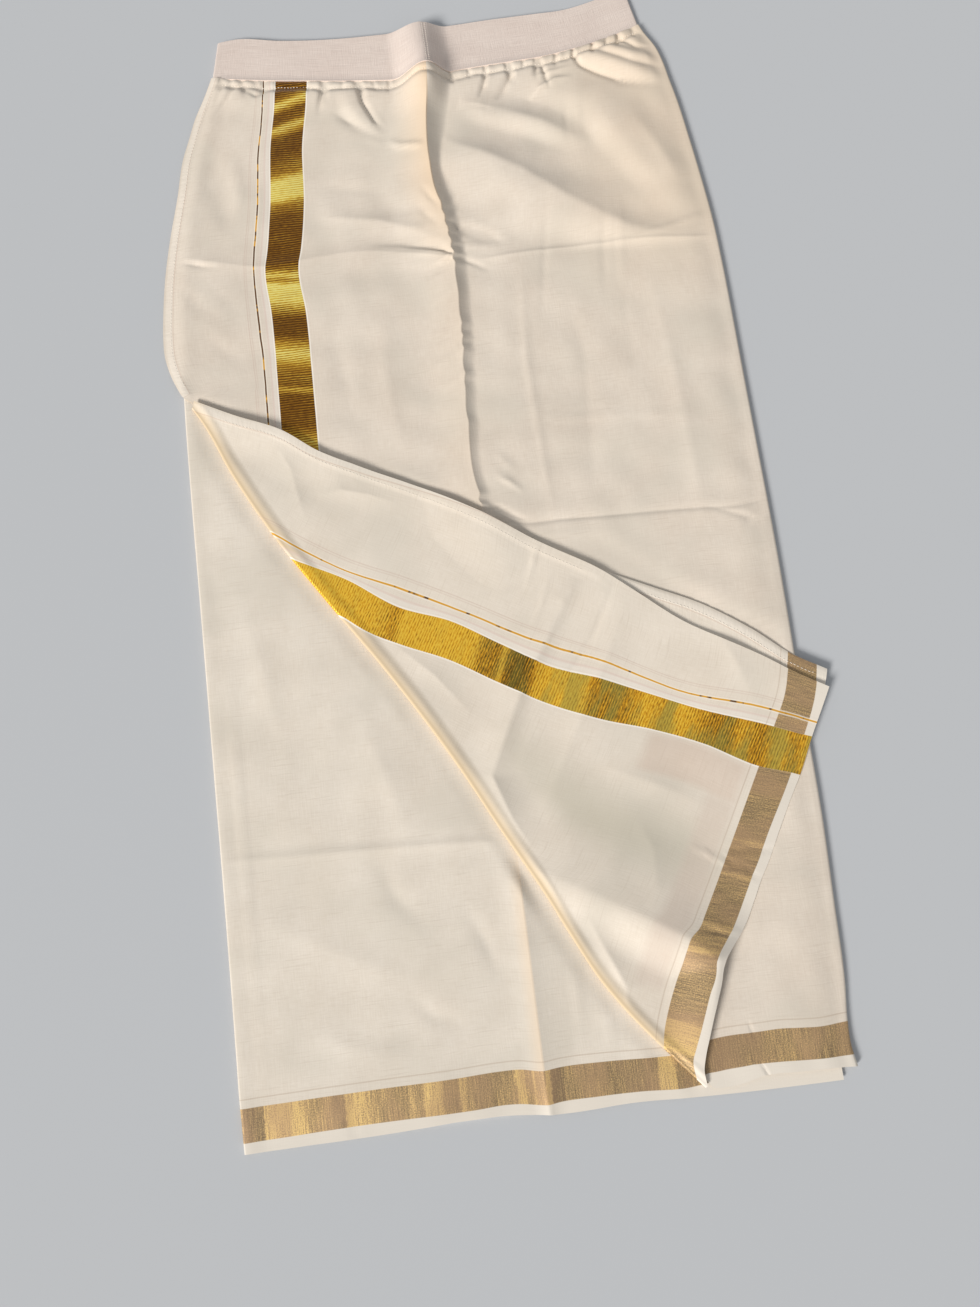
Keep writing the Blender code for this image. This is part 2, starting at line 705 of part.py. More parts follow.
def flap_margin(material):
    """The flap's hemmed margin, tucked under it and showing past its upper edge on the right."""
    rows = []
    for share in np.linspace(0.0, 1.0, MARGIN_ROWS):
        upper = along(MARGIN_EDGE, share)
        whole = MARGIN_START + (1 - MARGIN_START) * share
        cover = along(FLAP_EDGE, whole)
        inward = flap_place(whole, 0.0) - cover
        inward /= np.hypot(*inward)
        lower = cover + inward * (MARGIN_TUCK_START + MARGIN_TUCK_MORE * ease(share, 0.0, 0.7))
        points = []
        for across in np.linspace(0.0, 1.0, 4):
            place = (1 - across) * lower + across * upper
            held_x = min(place[0], right_fold(place[1]) - RIGHT_ROLL)
            points.append(Point(across, *place, outer_top(held_x, place[1]) + MARGIN_GAP + WALL))
        rows.append(points)
    return add_sheet("flap_margin", rows[::-1], material)


def band_y(x, height):
    """Place along the garment of a point at this share of the band's height."""
    seam = seam_y(x)
    return seam + height * (read(BAND_TOP, "y", "x", x) - seam)


def front_wall(x, y):
    return 2 * BAND_ROLL + raised(CENTRE_RIDGE, x, y)


def waistband(material):
    """The knitted elastic ring, pressed flat, with its front wall raised over the centre ridge."""
    rows = []
    for height in BAND_ROWS:
        half = BAND_END + (BAND_TOP_END - BAND_END) * height - BAND_ROLL
        widen = half / (BAND_END - BAND_ROLL)
        flat = [x * widen for x in seam_columns(-BAND_END + BAND_ROLL, BAND_END - BAND_ROLL)]
        low, high = BAND_RIDGE[0] - 2 * END_CLEAR, BAND_RIDGE[-1] + 2 * END_CLEAR
        front = [x for x in flat if not low < x / widen < high]
        front = sorted(front + [x * widen for x in BAND_RIDGE])
        points = [(x, 0.0) for x in reversed(flat)][:-1]
        points += side_roll(-half, -BAND_ROLL)
        points += [(x, front_wall(x, band_y(x, height))) for x in front[1:-1]]
        points += side_roll(half, BAND_ROLL)[:-1]
        rows.append([Point(i, x, band_y(x, height), z) for i, (x, z) in enumerate(points)])
    return add_sheet("waistband", rows, material, wall=BAND_WALL, ring=True)


def clear_scene():
    for obj in list(bpy.data.objects):
        bpy.data.objects.remove(obj)


def main():
    clear_scene()
    cotton = cloth_material("cream cotton", (0.76, 0.66, 0.53), 0.85)
    back_cotton = cloth_material("cream cotton, back", (0.70, 0.61, 0.50), 0.85)
    inner_cotton = cloth_material("cream cotton, inner front", (0.74, 0.65, 0.54), 0.85)
    wrong_side = cloth_material("cream cotton, wrong side", (0.80, 0.71, 0.58), 0.85)
    margin_cotton = cloth_material("cream cotton, hemmed margin", (0.78, 0.69, 0.57), 0.85)
    knit = cloth_material("knitted elastic", (0.74, 0.62, 0.55), 0.9)
    back_panel(back_cotton)
    inner_front(inner_cotton)
    outer_front(cotton)
    turned_flap(wrong_side)
    flap_margin(margin_cotton)
    waistband(knit)


main()
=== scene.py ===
"""Looks of a ready-made dhoti with an elastic waistband, laid flat with one corner turned back.

Each stretch of the cloth is a thin sheet on its solid's form, with the creases and puckers that the
solid is too coarse for. A sheet's UV map, "cloth", holds the place on the uncut cloth in metres: U is
the distance from the free front edge and V the distance from the hem's edge, so one set of rules
draws the woven borders on every stretch, whichever way it is folded.
"""

import math
from collections import namedtuple

import bpy
import numpy as np
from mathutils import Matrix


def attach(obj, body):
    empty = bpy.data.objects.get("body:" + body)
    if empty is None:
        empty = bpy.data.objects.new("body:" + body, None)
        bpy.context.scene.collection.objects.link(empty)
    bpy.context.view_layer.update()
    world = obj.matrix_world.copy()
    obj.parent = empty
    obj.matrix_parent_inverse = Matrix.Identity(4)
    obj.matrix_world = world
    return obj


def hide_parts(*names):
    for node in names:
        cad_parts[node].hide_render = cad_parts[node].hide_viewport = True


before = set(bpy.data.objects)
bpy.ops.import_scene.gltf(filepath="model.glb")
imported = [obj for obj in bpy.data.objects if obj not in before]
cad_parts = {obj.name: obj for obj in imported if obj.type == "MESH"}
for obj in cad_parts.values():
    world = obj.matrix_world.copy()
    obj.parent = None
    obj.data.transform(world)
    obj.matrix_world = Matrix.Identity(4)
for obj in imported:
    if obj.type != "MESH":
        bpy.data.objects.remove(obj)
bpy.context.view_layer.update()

# Sizes are in millimetres, and the meshes are made in metres.
MM = 0.001

# The solids' walls, how thick the sheets are made inside them, and the gaps between layers.
WALL = 1.0
CLOTH = 0.6
KNIT = 1.2
FOLD_GAP = 0.5
CREASE_GAP = 0.8
LAYER_GAP = 0.5
MARGIN_GAP = 0.6
FLAP_CLEAR = 0.1

# Upper faces of the flat layers, and the rolls at their folds.
BACK_TOP = 1.0
INNER_TOP = BACK_TOP + LAYER_GAP + WALL
OUTER_TOP = INNER_TOP + LAYER_GAP + WALL
LEFT_ROLL = 2.0
RIGHT_ROLL = 2.5
CREASE_ROLL = 2.25
TIP_ROLL = 1.5
ROLL_TAIL = 1.5
ROLL_RISE = 14.0
ROLL_STEPS = 10

# How the cloth hangs past a fold and puffs up, and how high its small creases stand.
DROOP = 0.28
DROOP_START = 1.5
HANG_CLEAR = 0.7
PILLOW = 1.6  # how far the layers puff up beside the right fold
PILLOW_EDGE = 26.0
PILLOW_END = 130.0
LEAST_RELIEF = -0.35
LOFT = 1.0  # how far bare cloth stands off what it lies on, on average
FLAP_LOFT = 0.8
CREASE_DEPTH = 1.35
PINCH_DEPTH = 1.45
PINCH_SPREAD = 0.12  # a pinch widens this much, and wanders this much, for each millimetre down
PINCH_LEAN = 0.15

# Places on the garment from its middle: X along the hem and Y up to the waist.
WAIST_Y = 436.0
HEM_Y = -508.0
BAND_END = 209.0
BAND_TOP_END = 201.3
BAND_ROLL = 1.9
BAND_HEIGHT = 50.0
BAND_STANDS_OFF = 7.0
INNER_END = 225.0
INNER_CLEAR = 5.0
TURN_TOP = 130.9
TURN_SHIFT_END = 124.0
SEAM_BEND_END = 290.0
SEAM_BEND_FULL = 396.0
HEM_BEND_END = -412.0
PRESS_BEND = 60.0  # rows this near a pressed crease bend to follow it
MARGIN_START = 0.552
MARGIN_TUCK_START = 4.0
MARGIN_TUCK_MORE = 12.0
MARGIN_WIDE = 24.0
FLAP_START = 0.02  # shares of the crease's length where the corner's sheet and its wider rows start
FLAP_TIP = 0.1
# Along the corner's upper edge: how much of it is tucked under by this far, and how much more by its
# end, where its margin widens, and where its own hem goes under and the margin's shows instead.
TUCKED = 11.0
TUCK_RUN = 412.0
TUCKED_MORE = 42.0
EDGE_RUN = 623.0
MARGIN_WIDENS = (340.0, 400.0)
FLAP_HEM_ENDS = (390.0, 425.0)
# The centre ridge ends here. Its slope runs to an edge by this share, which turns blunt further up.
RIDGE_END = -40.0
EDGED = 0.8
BLUNT_START = 384.0
BLUNT_END = 425.0
INNER_CREASE_X = -10.0

# How strongly light that comes through lifted cloth is painted in as a warm glow, and how far it spreads.
RIDGE_GLOW = 0.8
RIDGE_GLOW_WIDE = 36.0
INNER_GLOW = 0.5
INNER_GLOW_WIDE = 11.0
FLAP_GLOW_WIDE = 14.0
FLAP_GLOW = 0.85
HIP_GLOW = 0.34

# Distances on the uncut cloth from its free edge, across the stripe.
SIDE_HEM = 9.2
HEM_RISE = 0.4  # the hem's turned edge makes it this much thicker
THIN_LINE = 87.0
STRIPE_START = 99.0
STRIPE_END = 131.0
# And from the edge of the hem upward, across its border.
SELVEDGE = 8.0
BORDER_END = 34.5
STRIPE_LINES = (THIN_LINE, STRIPE_START, STRIPE_END)
BORDER_LINES = (0.0, SELVEDGE, BORDER_END)
# Where each stretch starts across the cloth, from the garment's middle.
INNER_START = 1400.0
BACK_START = 900.0


def named(kind, *rows):
    """A table whose plain rows get the names of their columns."""
    return tuple(kind(*row) for row in rows)


Side = namedtuple("Side", "y left_fold right_fold")
SIDES = named(
    Side, (-512, -250, 239), (-502, -250.3, 238.2), (-483, -250.8, 235.6), (-467, -251.3, 236.3),
    (-437, -251.4, 240), (-374, -251.8, 243.2), (-309, -252.4, 246.2), (-214, -253.6, 247.3),
    (-75, -255.3, 249.6), (35, -256.8, 249.3), (111, -257.3, 249), (168, -256.5, 248.9),
    (210, -254.5, 248.4), (252, -251, 247), (295, -245, 243.5), (339, -236, 239), (384, -224.5, 233.6),
    (405, -218, 230), (425, -212, 226.8), (441, -207.5, 222.5), (460, -205, 213), (480, -203, 206),
)

Edge = namedtuple("Edge", "x y")
FREE_EDGE = named(
    Edge, (-257.9, 130.9), (-266.6, 151.6), (-271.7, 172), (-272.4, 192), (-271.2, 212), (-267, 252),
    (-259.8, 293), (-250.7, 334), (-242.4, 376), (-235.3, 397), (-228.2, 418), (-218.1, 439),
    (-209.5, 458),
)
CREASE = named(
    Edge, (-257.9, 130.9), (-244.7, 109.8), (-217.6, 48.9), (-182.7, -16), (-148, -70.6), (-106, -133.6),
    (-76.8, -180.8), (-48.4, -231), (-21, -284.6), (9, -341), (25, -375), (44.3, -413), (64.4, -442.6),
    (88.2, -472), (114.7, -502.7),
)
FLAP_EDGE = named(
    Edge, (-257.9, 130.9), (-239.5, 120.8), (-209, 104.4), (-172.4, 87.3), (-140.3, 63.2), (-106, 44.7),
    (-38, 9.9), (-4.7, -10.2), (44.3, -44), (93.2, -74.8), (124.5, -101.3), (155.6, -127.6),
    (187.3, -147.6), (219, -166.5), (242.2, -182.6), (270.3, -200),
)
FLAP_HEM = named(
    Edge, (114.7, -502.7), (113.6, -492), (116.2, -480.5), (121.6, -466), (126.6, -453), (131.8, -440.5),
    (137.4, -426.5), (141, -414.5), (144, -408.6), (152.2, -399.4), (161.4, -389.8), (168, -381.2),
    (176.6, -366.5), (184.6, -351.8), (194, -337), (207.2, -313), (220.6, -289.8), (232.8, -269.9),
    (247, -242.4), (259.7, -219.5), (270.3, -200),
)
MARGIN_EDGE = named(
    Edge, (44.9, -43), (93.6, -73.8), (134.4, -94.4), (175.2, -114.8), (214.5, -142), (244.9, -167.9),
    (272.4, -184.5),
)
INNER_HEM = named(
    Edge, (-251, -508), (-150, -507), (-33, -505.5), (-9, -508), (63, -507.5), (110, -509.6), (207, -511),
    (226, -511),
)
BACK_HEM = named(Edge, (-251, -507), (-100, -505.5), (150, -503), (239, -501.5))
OUTER_HEM = named(
    Edge, (114.7, -502.7), (127, -504.6), (147.5, -503), (160, -500), (192, -500), (224.6, -501),
    (238.2, -502),
)
BAND_SEAM = named(
    Edge, (-209, 458.3), (-156.3, 449.5), (-119.4, 444.8), (-67.7, 438.6), (-36.9, 435.6), (0, 436),
    (25, 438.5), (79, 442), (106, 443.5), (137, 447.8), (160, 452.6), (183, 458.9), (209, 468),
)
BAND_TOP = named(
    Edge, (-201.3, 497.5), (-184.6, 499.5), (-141, 493), (-82.6, 488.2), (-38, 487.8), (0, 488.5),
    (50.9, 491), (110.6, 493), (140.5, 494.5), (171.5, 501.8), (187, 506.8), (201.3, 511),
)
# The woven lines as they lie on the front: the thin gold line and the two edges of the stripe.
FRONT_THIN = named(
    Edge, (-184, 60), (-183, 91), (-182.6, 161), (-184, 206), (-184.3, 250), (-176, 314), (-171.8, 362),
    (-161.5, 432), (-160, 452),
)
STRIPE_LEFT = named(
    Edge, (-172, 60), (-171.2, 136), (-171.2, 204), (-173.4, 250), (-170, 268), (-163.8, 313),
    (-158, 380), (-150.5, 425), (-148, 450),
)
STRIPE_RIGHT = named(
    Edge, (-140.4, 60), (-139.9, 132), (-140, 200), (-142.6, 250), (-139, 266), (-132.7, 309),
    (-128.5, 376), (-120.8, 422), (-118, 448),
)
# The same on the turned corner, from the crease to the hem.
FLAP_THIN = named(
    Edge, (-186, -8), (-166, -23), (-128, -48), (-82, -70), (-16, -105), (24, -128), (82, -154),
    (154, -192), (203, -207), (251, -227), (266, -234),
)
FLAP_STRIPE_TOP = named(
    Edge, (-168, -35), (-129, -55), (-84, -87), (-42, -104), (-2, -129), (36, -153), (80, -170),
    (120, -188), (160, -206), (209, -224), (249, -240), (258, -243),
)
FLAP_STRIPE_LOW = named(
    Edge, (-132, -90), (-116, -103), (-87, -119), (-46, -138), (-6, -163), (26, -182), (75, -204),
    (115, -217), (156, -234), (200, -259), (232, -270), (242, -275),
)
FLAP_BORDER_OUT = named(
    Edge, (109, -496), (107.5, -482), (111, -473), (116, -462), (121, -450), (128, -433), (135, -418),
    (137.5, -407), (140, -403), (148, -394), (156, -385), (164, -373), (172, -359), (179.5, -346),
    (187, -334), (194, -321), (224, -271), (240, -242), (256, -209), (262, -190),
)
FLAP_BORDER_IN = named(
    Edge, (86, -480), (87.5, -463), (89.3, -456), (94.4, -442), (101.5, -426), (108.5, -412), (116, -395),
    (119, -389), (128.6, -381), (135.4, -371), (143, -359), (151.4, -345), (160, -330), (167, -317.6),
    (200, -259), (218, -228), (232, -202), (240, -176),
)
# Lower and upper edges of the hem's border on the two fronts.
INNER_BORDER_LOW = named(
    Edge, (-249, -499.9), (-206, -498.9), (-166, -497.9), (-111, -497.7), (-64, -497.6), (-48, -496.8),
    (-32, -497.4), (-9, -500.4), (1, -499.4), (31, -499.2), (63, -499.8), (106, -501.6), (128, -498.5),
    (226, -498),
)
INNER_BORDER_TOP = named(
    Edge, (-249, -474.5), (-204, -473.7), (-140, -472.9), (-76, -472.5), (-45, -471.6), (-29, -472),
    (-12, -474.8), (3, -474), (35, -474.2), (67, -475.5), (93, -476.7), (226, -477),
)
OUTER_BORDER_LOW = named(
    Edge, (113, -493.3), (128.5, -491.5), (145, -490.5), (161, -490.2), (177, -490.7), (209, -492.5),
    (235, -492.5),
)
OUTER_BORDER_TOP = named(
    Edge, (123, -468.1), (133, -467.1), (165, -466.5), (181, -466.2), (197, -467.4), (213, -468.4),
    (234, -467.4),
)

# A fold's crest runs through its rows. Left and right are its reach on each side of that way.
Fold = namedtuple("Fold", "x y height left right")


def fold(*rows):
    """A fold from its rows. One that is a value short reaches as far on both sides."""
    return tuple(Fold(*row[:4], row[-1]) for row in rows)


def folded(*folds):
    """Several folds."""
    return tuple(fold(*rows) for rows in folds)


CENTRE_RIDGE = fold(
    (3, -40, 0, 30, 10), (-2, -12, 2.6, 32, 10), (-5, 22, 3.8, 38, 10), (-5, 60, 4.4, 42, 10),
    (-2, 145, 5.6, 46, 11), (1, 229, 7.2, 50, 12), (-5, 286, 8.6, 56, 13), (-9, 318, 9.6, 58, 14),
    (-11, 352, 10.8, 56, 16), (-9, 384, 12.4, 46, 19), (-5, 410, 15.5, 38, 22), (-3, 436, 19.5, 34, 25),
    (-4, 462, 15, 34, 26), (-5, 490, 10, 34, 28), (-5, 520, 9, 34, 28),
)
SLANTING_FOLD = fold(
    (0, 368, 0, 22, 50), (18, 355, 4.6, 28, 56), (39, 343, 7, 34, 60), (75, 320, 8.4, 42, 66),
    (108, 291, 8.6, 48, 60), (142, 266, 7, 46, 40), (166, 251, 4.6, 38, 26), (190, 243, 2.4, 26, 20),
    (226, 238, 0, 20, 16),
)
POCKET_FOLD = fold(
    (24, 404, 0, 14, 20), (45, 396, 3.6, 18, 22), (70, 385, 5, 22), (100, 371, 4.6, 24, 22),
    (124, 356, 2.6, 20), (146, 342, 0, 16),
)
HIP_FOLD = fold(
    (84, 420, 0, 22, 24), (120, 406, 2.4, 34, 26), (152, 386, 4.6, 44, 28), (176, 346, 5, 46, 30),
    (199, 306, 3.6, 40, 28), (222, 262, 0, 30, 24),
)
WAIST_FOLD_RIGHT = fold(
    (134, 444, 0, 12), (154, 436, 3.4, 12), (180, 424, 4.4, 13, 14), (204, 413, 3.6, 13, 14),
    (228, 406, 0.8, 12),
)
WAIST_FOLD_UPPER = fold(
    (160, 452, 0, 8, 9), (176, 441, 3.4, 9, 10), (196, 431, 3.6, 10, 11), (226, 426, 1.2, 9, 10),
)
WAIST_FOLD_LEFT = fold(
    (-84, 440, 0, 14), (-78, 410, 2.6, 18, 14), (-64, 384, 2.6, 20, 14), (-40, 360, 0, 20, 14),
)
FRONT_FOLDS = (HIP_FOLD, WAIST_FOLD_RIGHT, WAIST_FOLD_UPPER, WAIST_FOLD_LEFT)
EDGED_FOLDS = (SLANTING_FOLD, POCKET_FOLD)

FLAP_EDGE_LIFT = fold(
    (-252, 128, 0.6, 20), (-209, 104, 3.2, 30, 34), (-172, 87, 3.8, 30, 44), (-140, 63, 3.2, 30, 44),
    (-106, 45, 2.2, 30, 40), (-60, 21, 1.4, 30, 40), (-10, -7, 1.2, 30, 50), (44, -44, 1.3, 30, 50),
    (93, -75, 1.2, 34, 60), (170, -137, 1.1, 30, 60), (240, -181, 1.1, 30, 60), (272, -201, 1.1, 30, 60),
)
FLAP_RIDGE = fold(
    (-24, -306, 0.6, 44, 20), (24, -330, 4, 74, 30), (54, -348, 6.4, 92, 36), (84, -366, 8.4, 88, 38),
    (119, -388, 10.6, 70, 40), (140, -406, 11.8, 52, 42), (131, -440, 8.5, 30, 42),
    (118, -478, 4.5, 30, 34), (115, -503, 0.6, 30, 20),
)
# Painted shade where the turned corner stands clear of what is under it, so that it looks greyer: height is
# how much.
FLAP_HOLLOW_SHADE = fold(
    (-14, -190, 0, 34, 26), (12, -236, 0.5, 42, 24), (44, -276, 0.75, 52, 30), (84, -300, 0.75, 52, 40),
    (124, -318, 0.6, 44), (156, -330, 0.25, 34, 36),
)
FLAP_BRIDGE = fold((-6, 20, 4.6, 52, 60), (-3, -14, 3.8, 52, 60), (6, -52, 2, 40, 44), (14, -86, 0, 30))

# Creases that folding for sale pressed across the cloth: a height below 0 is a groove.
Press = namedtuple("Press", "x y height above below")
HIGH_CREASE = named(
    Press, (-262, 271, 0.2, 8, 6), (-225, 263, 0.8, 12, 14), (-198, 256, 0.7, 12, 16),
    (-178, 252, 0.8, 12, 14), (-141, 253.5, 1.1, 14, 18), (-113, 256, 1.2, 16, 22),
    (-76, 255, 1.4, 18, 26), (-39, 248, 1.7, 20, 24), (-21, 243, 1.9, 18, 16), (-5, 238, 1.2, 12, 8),
    (12, 236, 0, 8, 8), (34, 235.5, 0.6, 6, 8), (60, 237, 0.8, 5, 8), (138, 237, 0.8, 5, 7),
    (185, 236, 0.8, 5, 7), (231, 233, 0.6, 6, 7), (250, 234, 0.4, 6, 6),
)
LOW_CREASE = named(
    Press, (-262, -26, 0, 8, 6), (6, -20, 0, 8, 6), (18, -22, -0.9, 10, 6), (40, -24, -1.2, 12, 6),
    (65, -24, -1.2, 12, 5), (100, -25.5, -1, 12, 5), (152, -27, -0.9, 10, 5), (190, -29, -0.9, 10, 5),
    (218, -31, -0.7, 8, 5), (250, -27, -0.4, 8, 5),
)
INNER_CREASE = named(
    Press, (-255, -282.5, 0.4, 8, 12), (-188, -285, 0.8, 9, 16), (-88, -289, 0.9, 9, 18),
    (-10, -294, 0.5, 8, 12), (10, -296, 0, 8, 10), (240, -300, 0, 8, 10),
)

FRONT_PRESSED = folded(
    [(168, 239, 0, 4, 6), (206, 247, 0.9, 5, 8), (242, 257, 0.5, 5, 8)],
    [(196, -29, 0, 4, 5), (226, -41, -1, 5, 6), (238, -50, -0.8, 5, 6), (243, -82, 0, 4)],
    [(54, 74, 0, 6, 8), (82, 70, 0.5, 6, 8), (159, 65, 0.5, 6, 8), (196, 58, 0, 6, 8)],
    [(97, 302, 0, 5), (84, 226, -0.6, 6), (73, 160, 0, 5)],
    [(148, 285, 0, 5), (140, 230, -0.7, 6), (134, 173, 0, 5)],
    [(162, 284, 0, 5), (156, 228, 0.6, 6), (152, 170, -0.3, 5), (150, 60, 0, 5)],
    [(127, 397, 0, 5), (124, 368, -0.8, 5), (122, 342, 0, 5)],
    [(138, 398, 0, 5), (136, 370, 0.6, 5), (135, 350, 0, 5)],
    [(62, 230, 0, 8), (55, 130, 0.8, 10, 8), (58, 20, 0.5, 8), (60, -30, 0, 8)],
    [(176, 220, 0, 16), (186, 120, 0.8, 20, 18), (190, 10, 0.7, 18), (188, -60, 0, 14)],
    [(96, 210, 0, 18), (108, 130, -0.8, 22, 20), (102, 40, -0.6, 20), (96, -10, 0, 14)],
    [(157, -458, 0, 2), (158, -464, -0.9, 2.2), (159, -472, 0, 2)],
    [(162, -489, 0, 2), (164, -495, -1, 2.2), (165, -502, -0.4, 2)],
)
# Small folds that run into the centre ridge, and the dents beside it.
RIDGE_TUCKS = folded(
    [(-78, 262, 0, 18, 6), (-48, 260, -1.4, 24, 6), (-24, 252, -2.2, 18, 5), (-8, 245, -2.4, 9, 3),
     (-1, 240, -1.2, 4, 3)],
    [(-34, 228, 0, 5), (-16, 233, 0.9, 5, 4), (-3, 238, 1.3, 4)],
    [(-28, 218, 0, 5), (-12, 226, -0.8, 5, 4), (-2, 235, -1, 4)],
    [(-24, 318, 0, 6), (-14, 300, -1, 7, 4), (-5, 286, 0, 4)],
    [(-30, 300, 0, 8, 6), (-20, 284, -0.8, 8, 5), (-8, 268, 0, 5, 4)],
    [(2, 270, -1.6, 8, 6), (18, 266, -2.6, 12), (34, 258, -1.8, 12), (52, 249, 0, 8, 10)],
    [(4, 240, 0, 4), (18, 232, -1.2, 6, 4), (34, 222, 0, 5)],
    [(6, 252, 0, 4), (22, 249, 0.9, 4), (44, 248, 0, 4)],
    [(-34, 190, 0, 6), (-18, 198, 0.6, 6, 5), (-4, 206, 0, 4)],
    [(-30, 128, 0, 5), (-14, 139, 0.9, 5, 4), (-3, 147, 0.5, 3)],
    [(-26, 108, 0, 5), (-12, 116, 0.7, 5, 4), (-3, 122, 0.3, 3)],
    [(-22, 64, 0, 4), (-10, 70, 0.6, 4, 3), (-4, 73, 0, 3)],
    [(12, 24, 0, 5, 4), (24, 16, 1.4, 6, 5), (38, 4, 0, 5)],
    [(14, 44, 0, 5, 4), (24, 34, 0.9, 6, 5), (34, 26, 0, 5)],
    [(2, -2, 0, 4, 3), (12, -8, -1.6, 6, 4), (24, -16, -1, 6, 4), (38, -22, 0, 4)],
)
# Folds that start at the gathering under the band, and the soft dents below them.
WAIST_TUCKS = folded(
    [(-198, 450, -1.6, 4, 5), (-206, 434, -2.4, 5, 6), (-216, 418, -1.8, 6), (-226, 400, 0, 6)],
    [(-186, 446, -1.2, 4), (-196, 432, -1.6, 5, 4), (-214, 412, 0, 5, 4)],
    [(-178, 440, -1.2, 8, 4), (-168, 432, -1.6, 9, 4), (-156, 437, -0.8, 6, 4)],
    [(-212, 378, 0, 16, 18), (-214, 345, -1.6, 20, 22), (-208, 312, -1.3, 18, 22),
     (-204, 286, 0, 14, 16)],
    [(-196, 300, 0, 10), (-192, 330, 1.2, 14, 12), (-196, 372, 0, 10)],
    [(-252, 264, 0, 5), (-241, 262, -1.4, 6, 5), (-229, 258, -0.9, 5), (-218, 257, 0, 4)],
    [(-257, 252, 0, 5, 6), (-250, 238, -1.6, 6, 7), (-240, 222, -1.3, 6, 7), (-230, 206, 0, 5, 6)],
    [(-232, 236, 0, 8), (-218, 214, 0.9, 12, 10), (-206, 190, 0, 8)],
    [(-103, 440, -2, 4, 5), (-106, 424, -2.4, 5), (-111, 404, 0, 5)],
    [(-71, 436, -2, 5), (-67, 413, -2.6, 7, 5), (-58, 392, -2, 8, 5), (-48, 376, 0, 7, 5)],
    [(-50, 370, 0, 5, 6), (-37, 361, 1.8, 5, 7), (-22, 357, 2, 5, 7), (-12, 354, 0, 4, 5)],
    [(-98, 408, 0, 10), (-84, 396, -1.6, 14, 10), (-66, 380, -1.8, 16, 9), (-44, 366, 0, 12, 6)],
    [(-120, 296, 0, 18, 26), (-96, 292, 1.6, 20, 30), (-62, 284, 2.2, 22, 30), (-32, 272, 1.2, 18, 20),
     (-12, 258, 0, 12)],
    [(-124, 330, 0, 20), (-88, 322, -1.2, 26, 22), (-48, 312, 0, 22, 18)],
    [(78, 440, -2.4, 5, 6), (78, 425, -3, 6, 8), (68, 409, -1.6, 6, 8), (60, 400, 0, 5, 6)],
    [(54, 428, -1.2, 4, 5), (50, 416, -2.2, 6), (44, 404, 0, 5)],
    [(107, 443, -2.2, 4, 5), (110, 424, -2.6, 5, 6), (113, 404, 0, 5, 6)],
    [(92, 396, 0, 6), (104, 407, 2.2, 6, 8), (120, 414, 1.8, 5, 8), (136, 416, 0, 4, 6)],
    [(96, 419, 0, 4), (118, 423, 1.2, 4, 5), (140, 427, 0, 4)],
    [(140, 442, -1.6, 4, 5), (146, 428, -2.2, 5, 6), (165, 416, -2, 5, 8), (184, 406, -1.8, 5, 9),
     (206, 402, -1, 5, 9), (226, 400, 0, 5, 7)],
    [(187, 458, -1.6, 4, 5), (191, 449, -2, 5), (202, 441, -1.4, 5, 6), (224, 440, 0, 5, 6)],
    [(202, 465, -1.4, 3, 4), (207, 458, -1.6, 4), (216, 452, 0, 3, 4)],
    [(126, 446, -1.6, 3, 4), (126, 434, 0, 3, 4)],
    [(161, 454, -1.4, 3, 4), (163, 443, 0, 3, 4)],
    [(30, 398, 0, 14, 12), (50, 392, -1.2, 16, 12), (84, 378, 0, 16, 12)],
    [(186, 372, 0, 20), (206, 330, 1.4, 22, 18), (222, 290, 0, 16, 14)],
    [(-60, 210, 0, 24), (-74, 150, 1, 30, 26), (-70, 90, 0.8, 26, 24), (-60, 40, 0, 20)],
    [(-120, 200, 0, 18), (-112, 140, -0.9, 22, 20), (-104, 80, 0, 18)],
    [(-240, 200, 0, 12), (-222, 176, -0.9, 14, 12), (-196, 152, 0, 12)],
)
FRONT_CREASES = FRONT_PRESSED + RIDGE_TUCKS + WAIST_TUCKS

# Places along the seam where the gathering pinches the cloth, with how deep and how far down.
Pinch = namedtuple("Pinch", "x depth reach half")
PINCHES = named(
    Pinch, (-201, 1.4, 12, 2.6), (-191, 1.6, 13, 2.6), (-181, 2, 16, 2.8), (-168, 1, 10, 2.4),
    (-159, 2, 14, 2.8), (-147, 1.6, 12, 2.6), (-133, 0.8, 8, 2.6), (-119, 1.6, 12, 2.8),
    (-101, 2.4, 18, 3.2), (-84, 0.9, 9, 2.4), (-68, 2.4, 16, 3.2), (-55, 1, 10, 2.4), (-39, 1.6, 12, 2.8),
    (20, 1.8, 12, 2.8), (38, 1.2, 10, 2.6), (55, 2.2, 14, 3), (76, 2.6, 18, 3.2), (92, 1, 9, 2.4),
    (105, 2.6, 18, 3.2), (124, 2, 12, 2.8), (141, 2.2, 14, 2.8), (161, 1.8, 12, 2.8), (175, 1, 9, 2.4),
    (187, 2, 13, 2.8), (202, 1.8, 11, 2.6),
)
HEADING = 8.2  # how far under the band the gathering is stitched down
HEADING_PUFF = 2.1
STITCHED_DOWN = 0.9
STITCHED_HALF = 2.2
SWELL_BELOW = 2.5
SWELL_START = 7.0
SWELL_END = 46.0

# Sideways steps of the centre ridge's lip, where small tucks notch it.
Notch = namedtuple("Notch", "y shift")
NOTCHES = named(
    Notch, (-40, 0), (-14, 0.6), (-9, -1.4), (-4, 1.2), (1, -0.8), (7, 1), (13, 0), (70, 0), (75, 0.6),
    (80, -0.2), (110, 0), (115, -0.5), (121, 0.9), (126, -0.3), (141, 0.1), (146, 1.1), (151, -0.6),
    (157, 1.2), (163, -0.4), (170, 1), (176, 0), (200, 0.3), (226, 0), (231, 0.8), (236, -0.9),
    (241, 1.3), (247, -0.6), (253, 1.2), (259, -0.5), (266, 1), (272, -0.4), (279, 1), (285, -0.2),
    (292, 0.9), (299, 0), (340, 0.4), (400, 0),
)

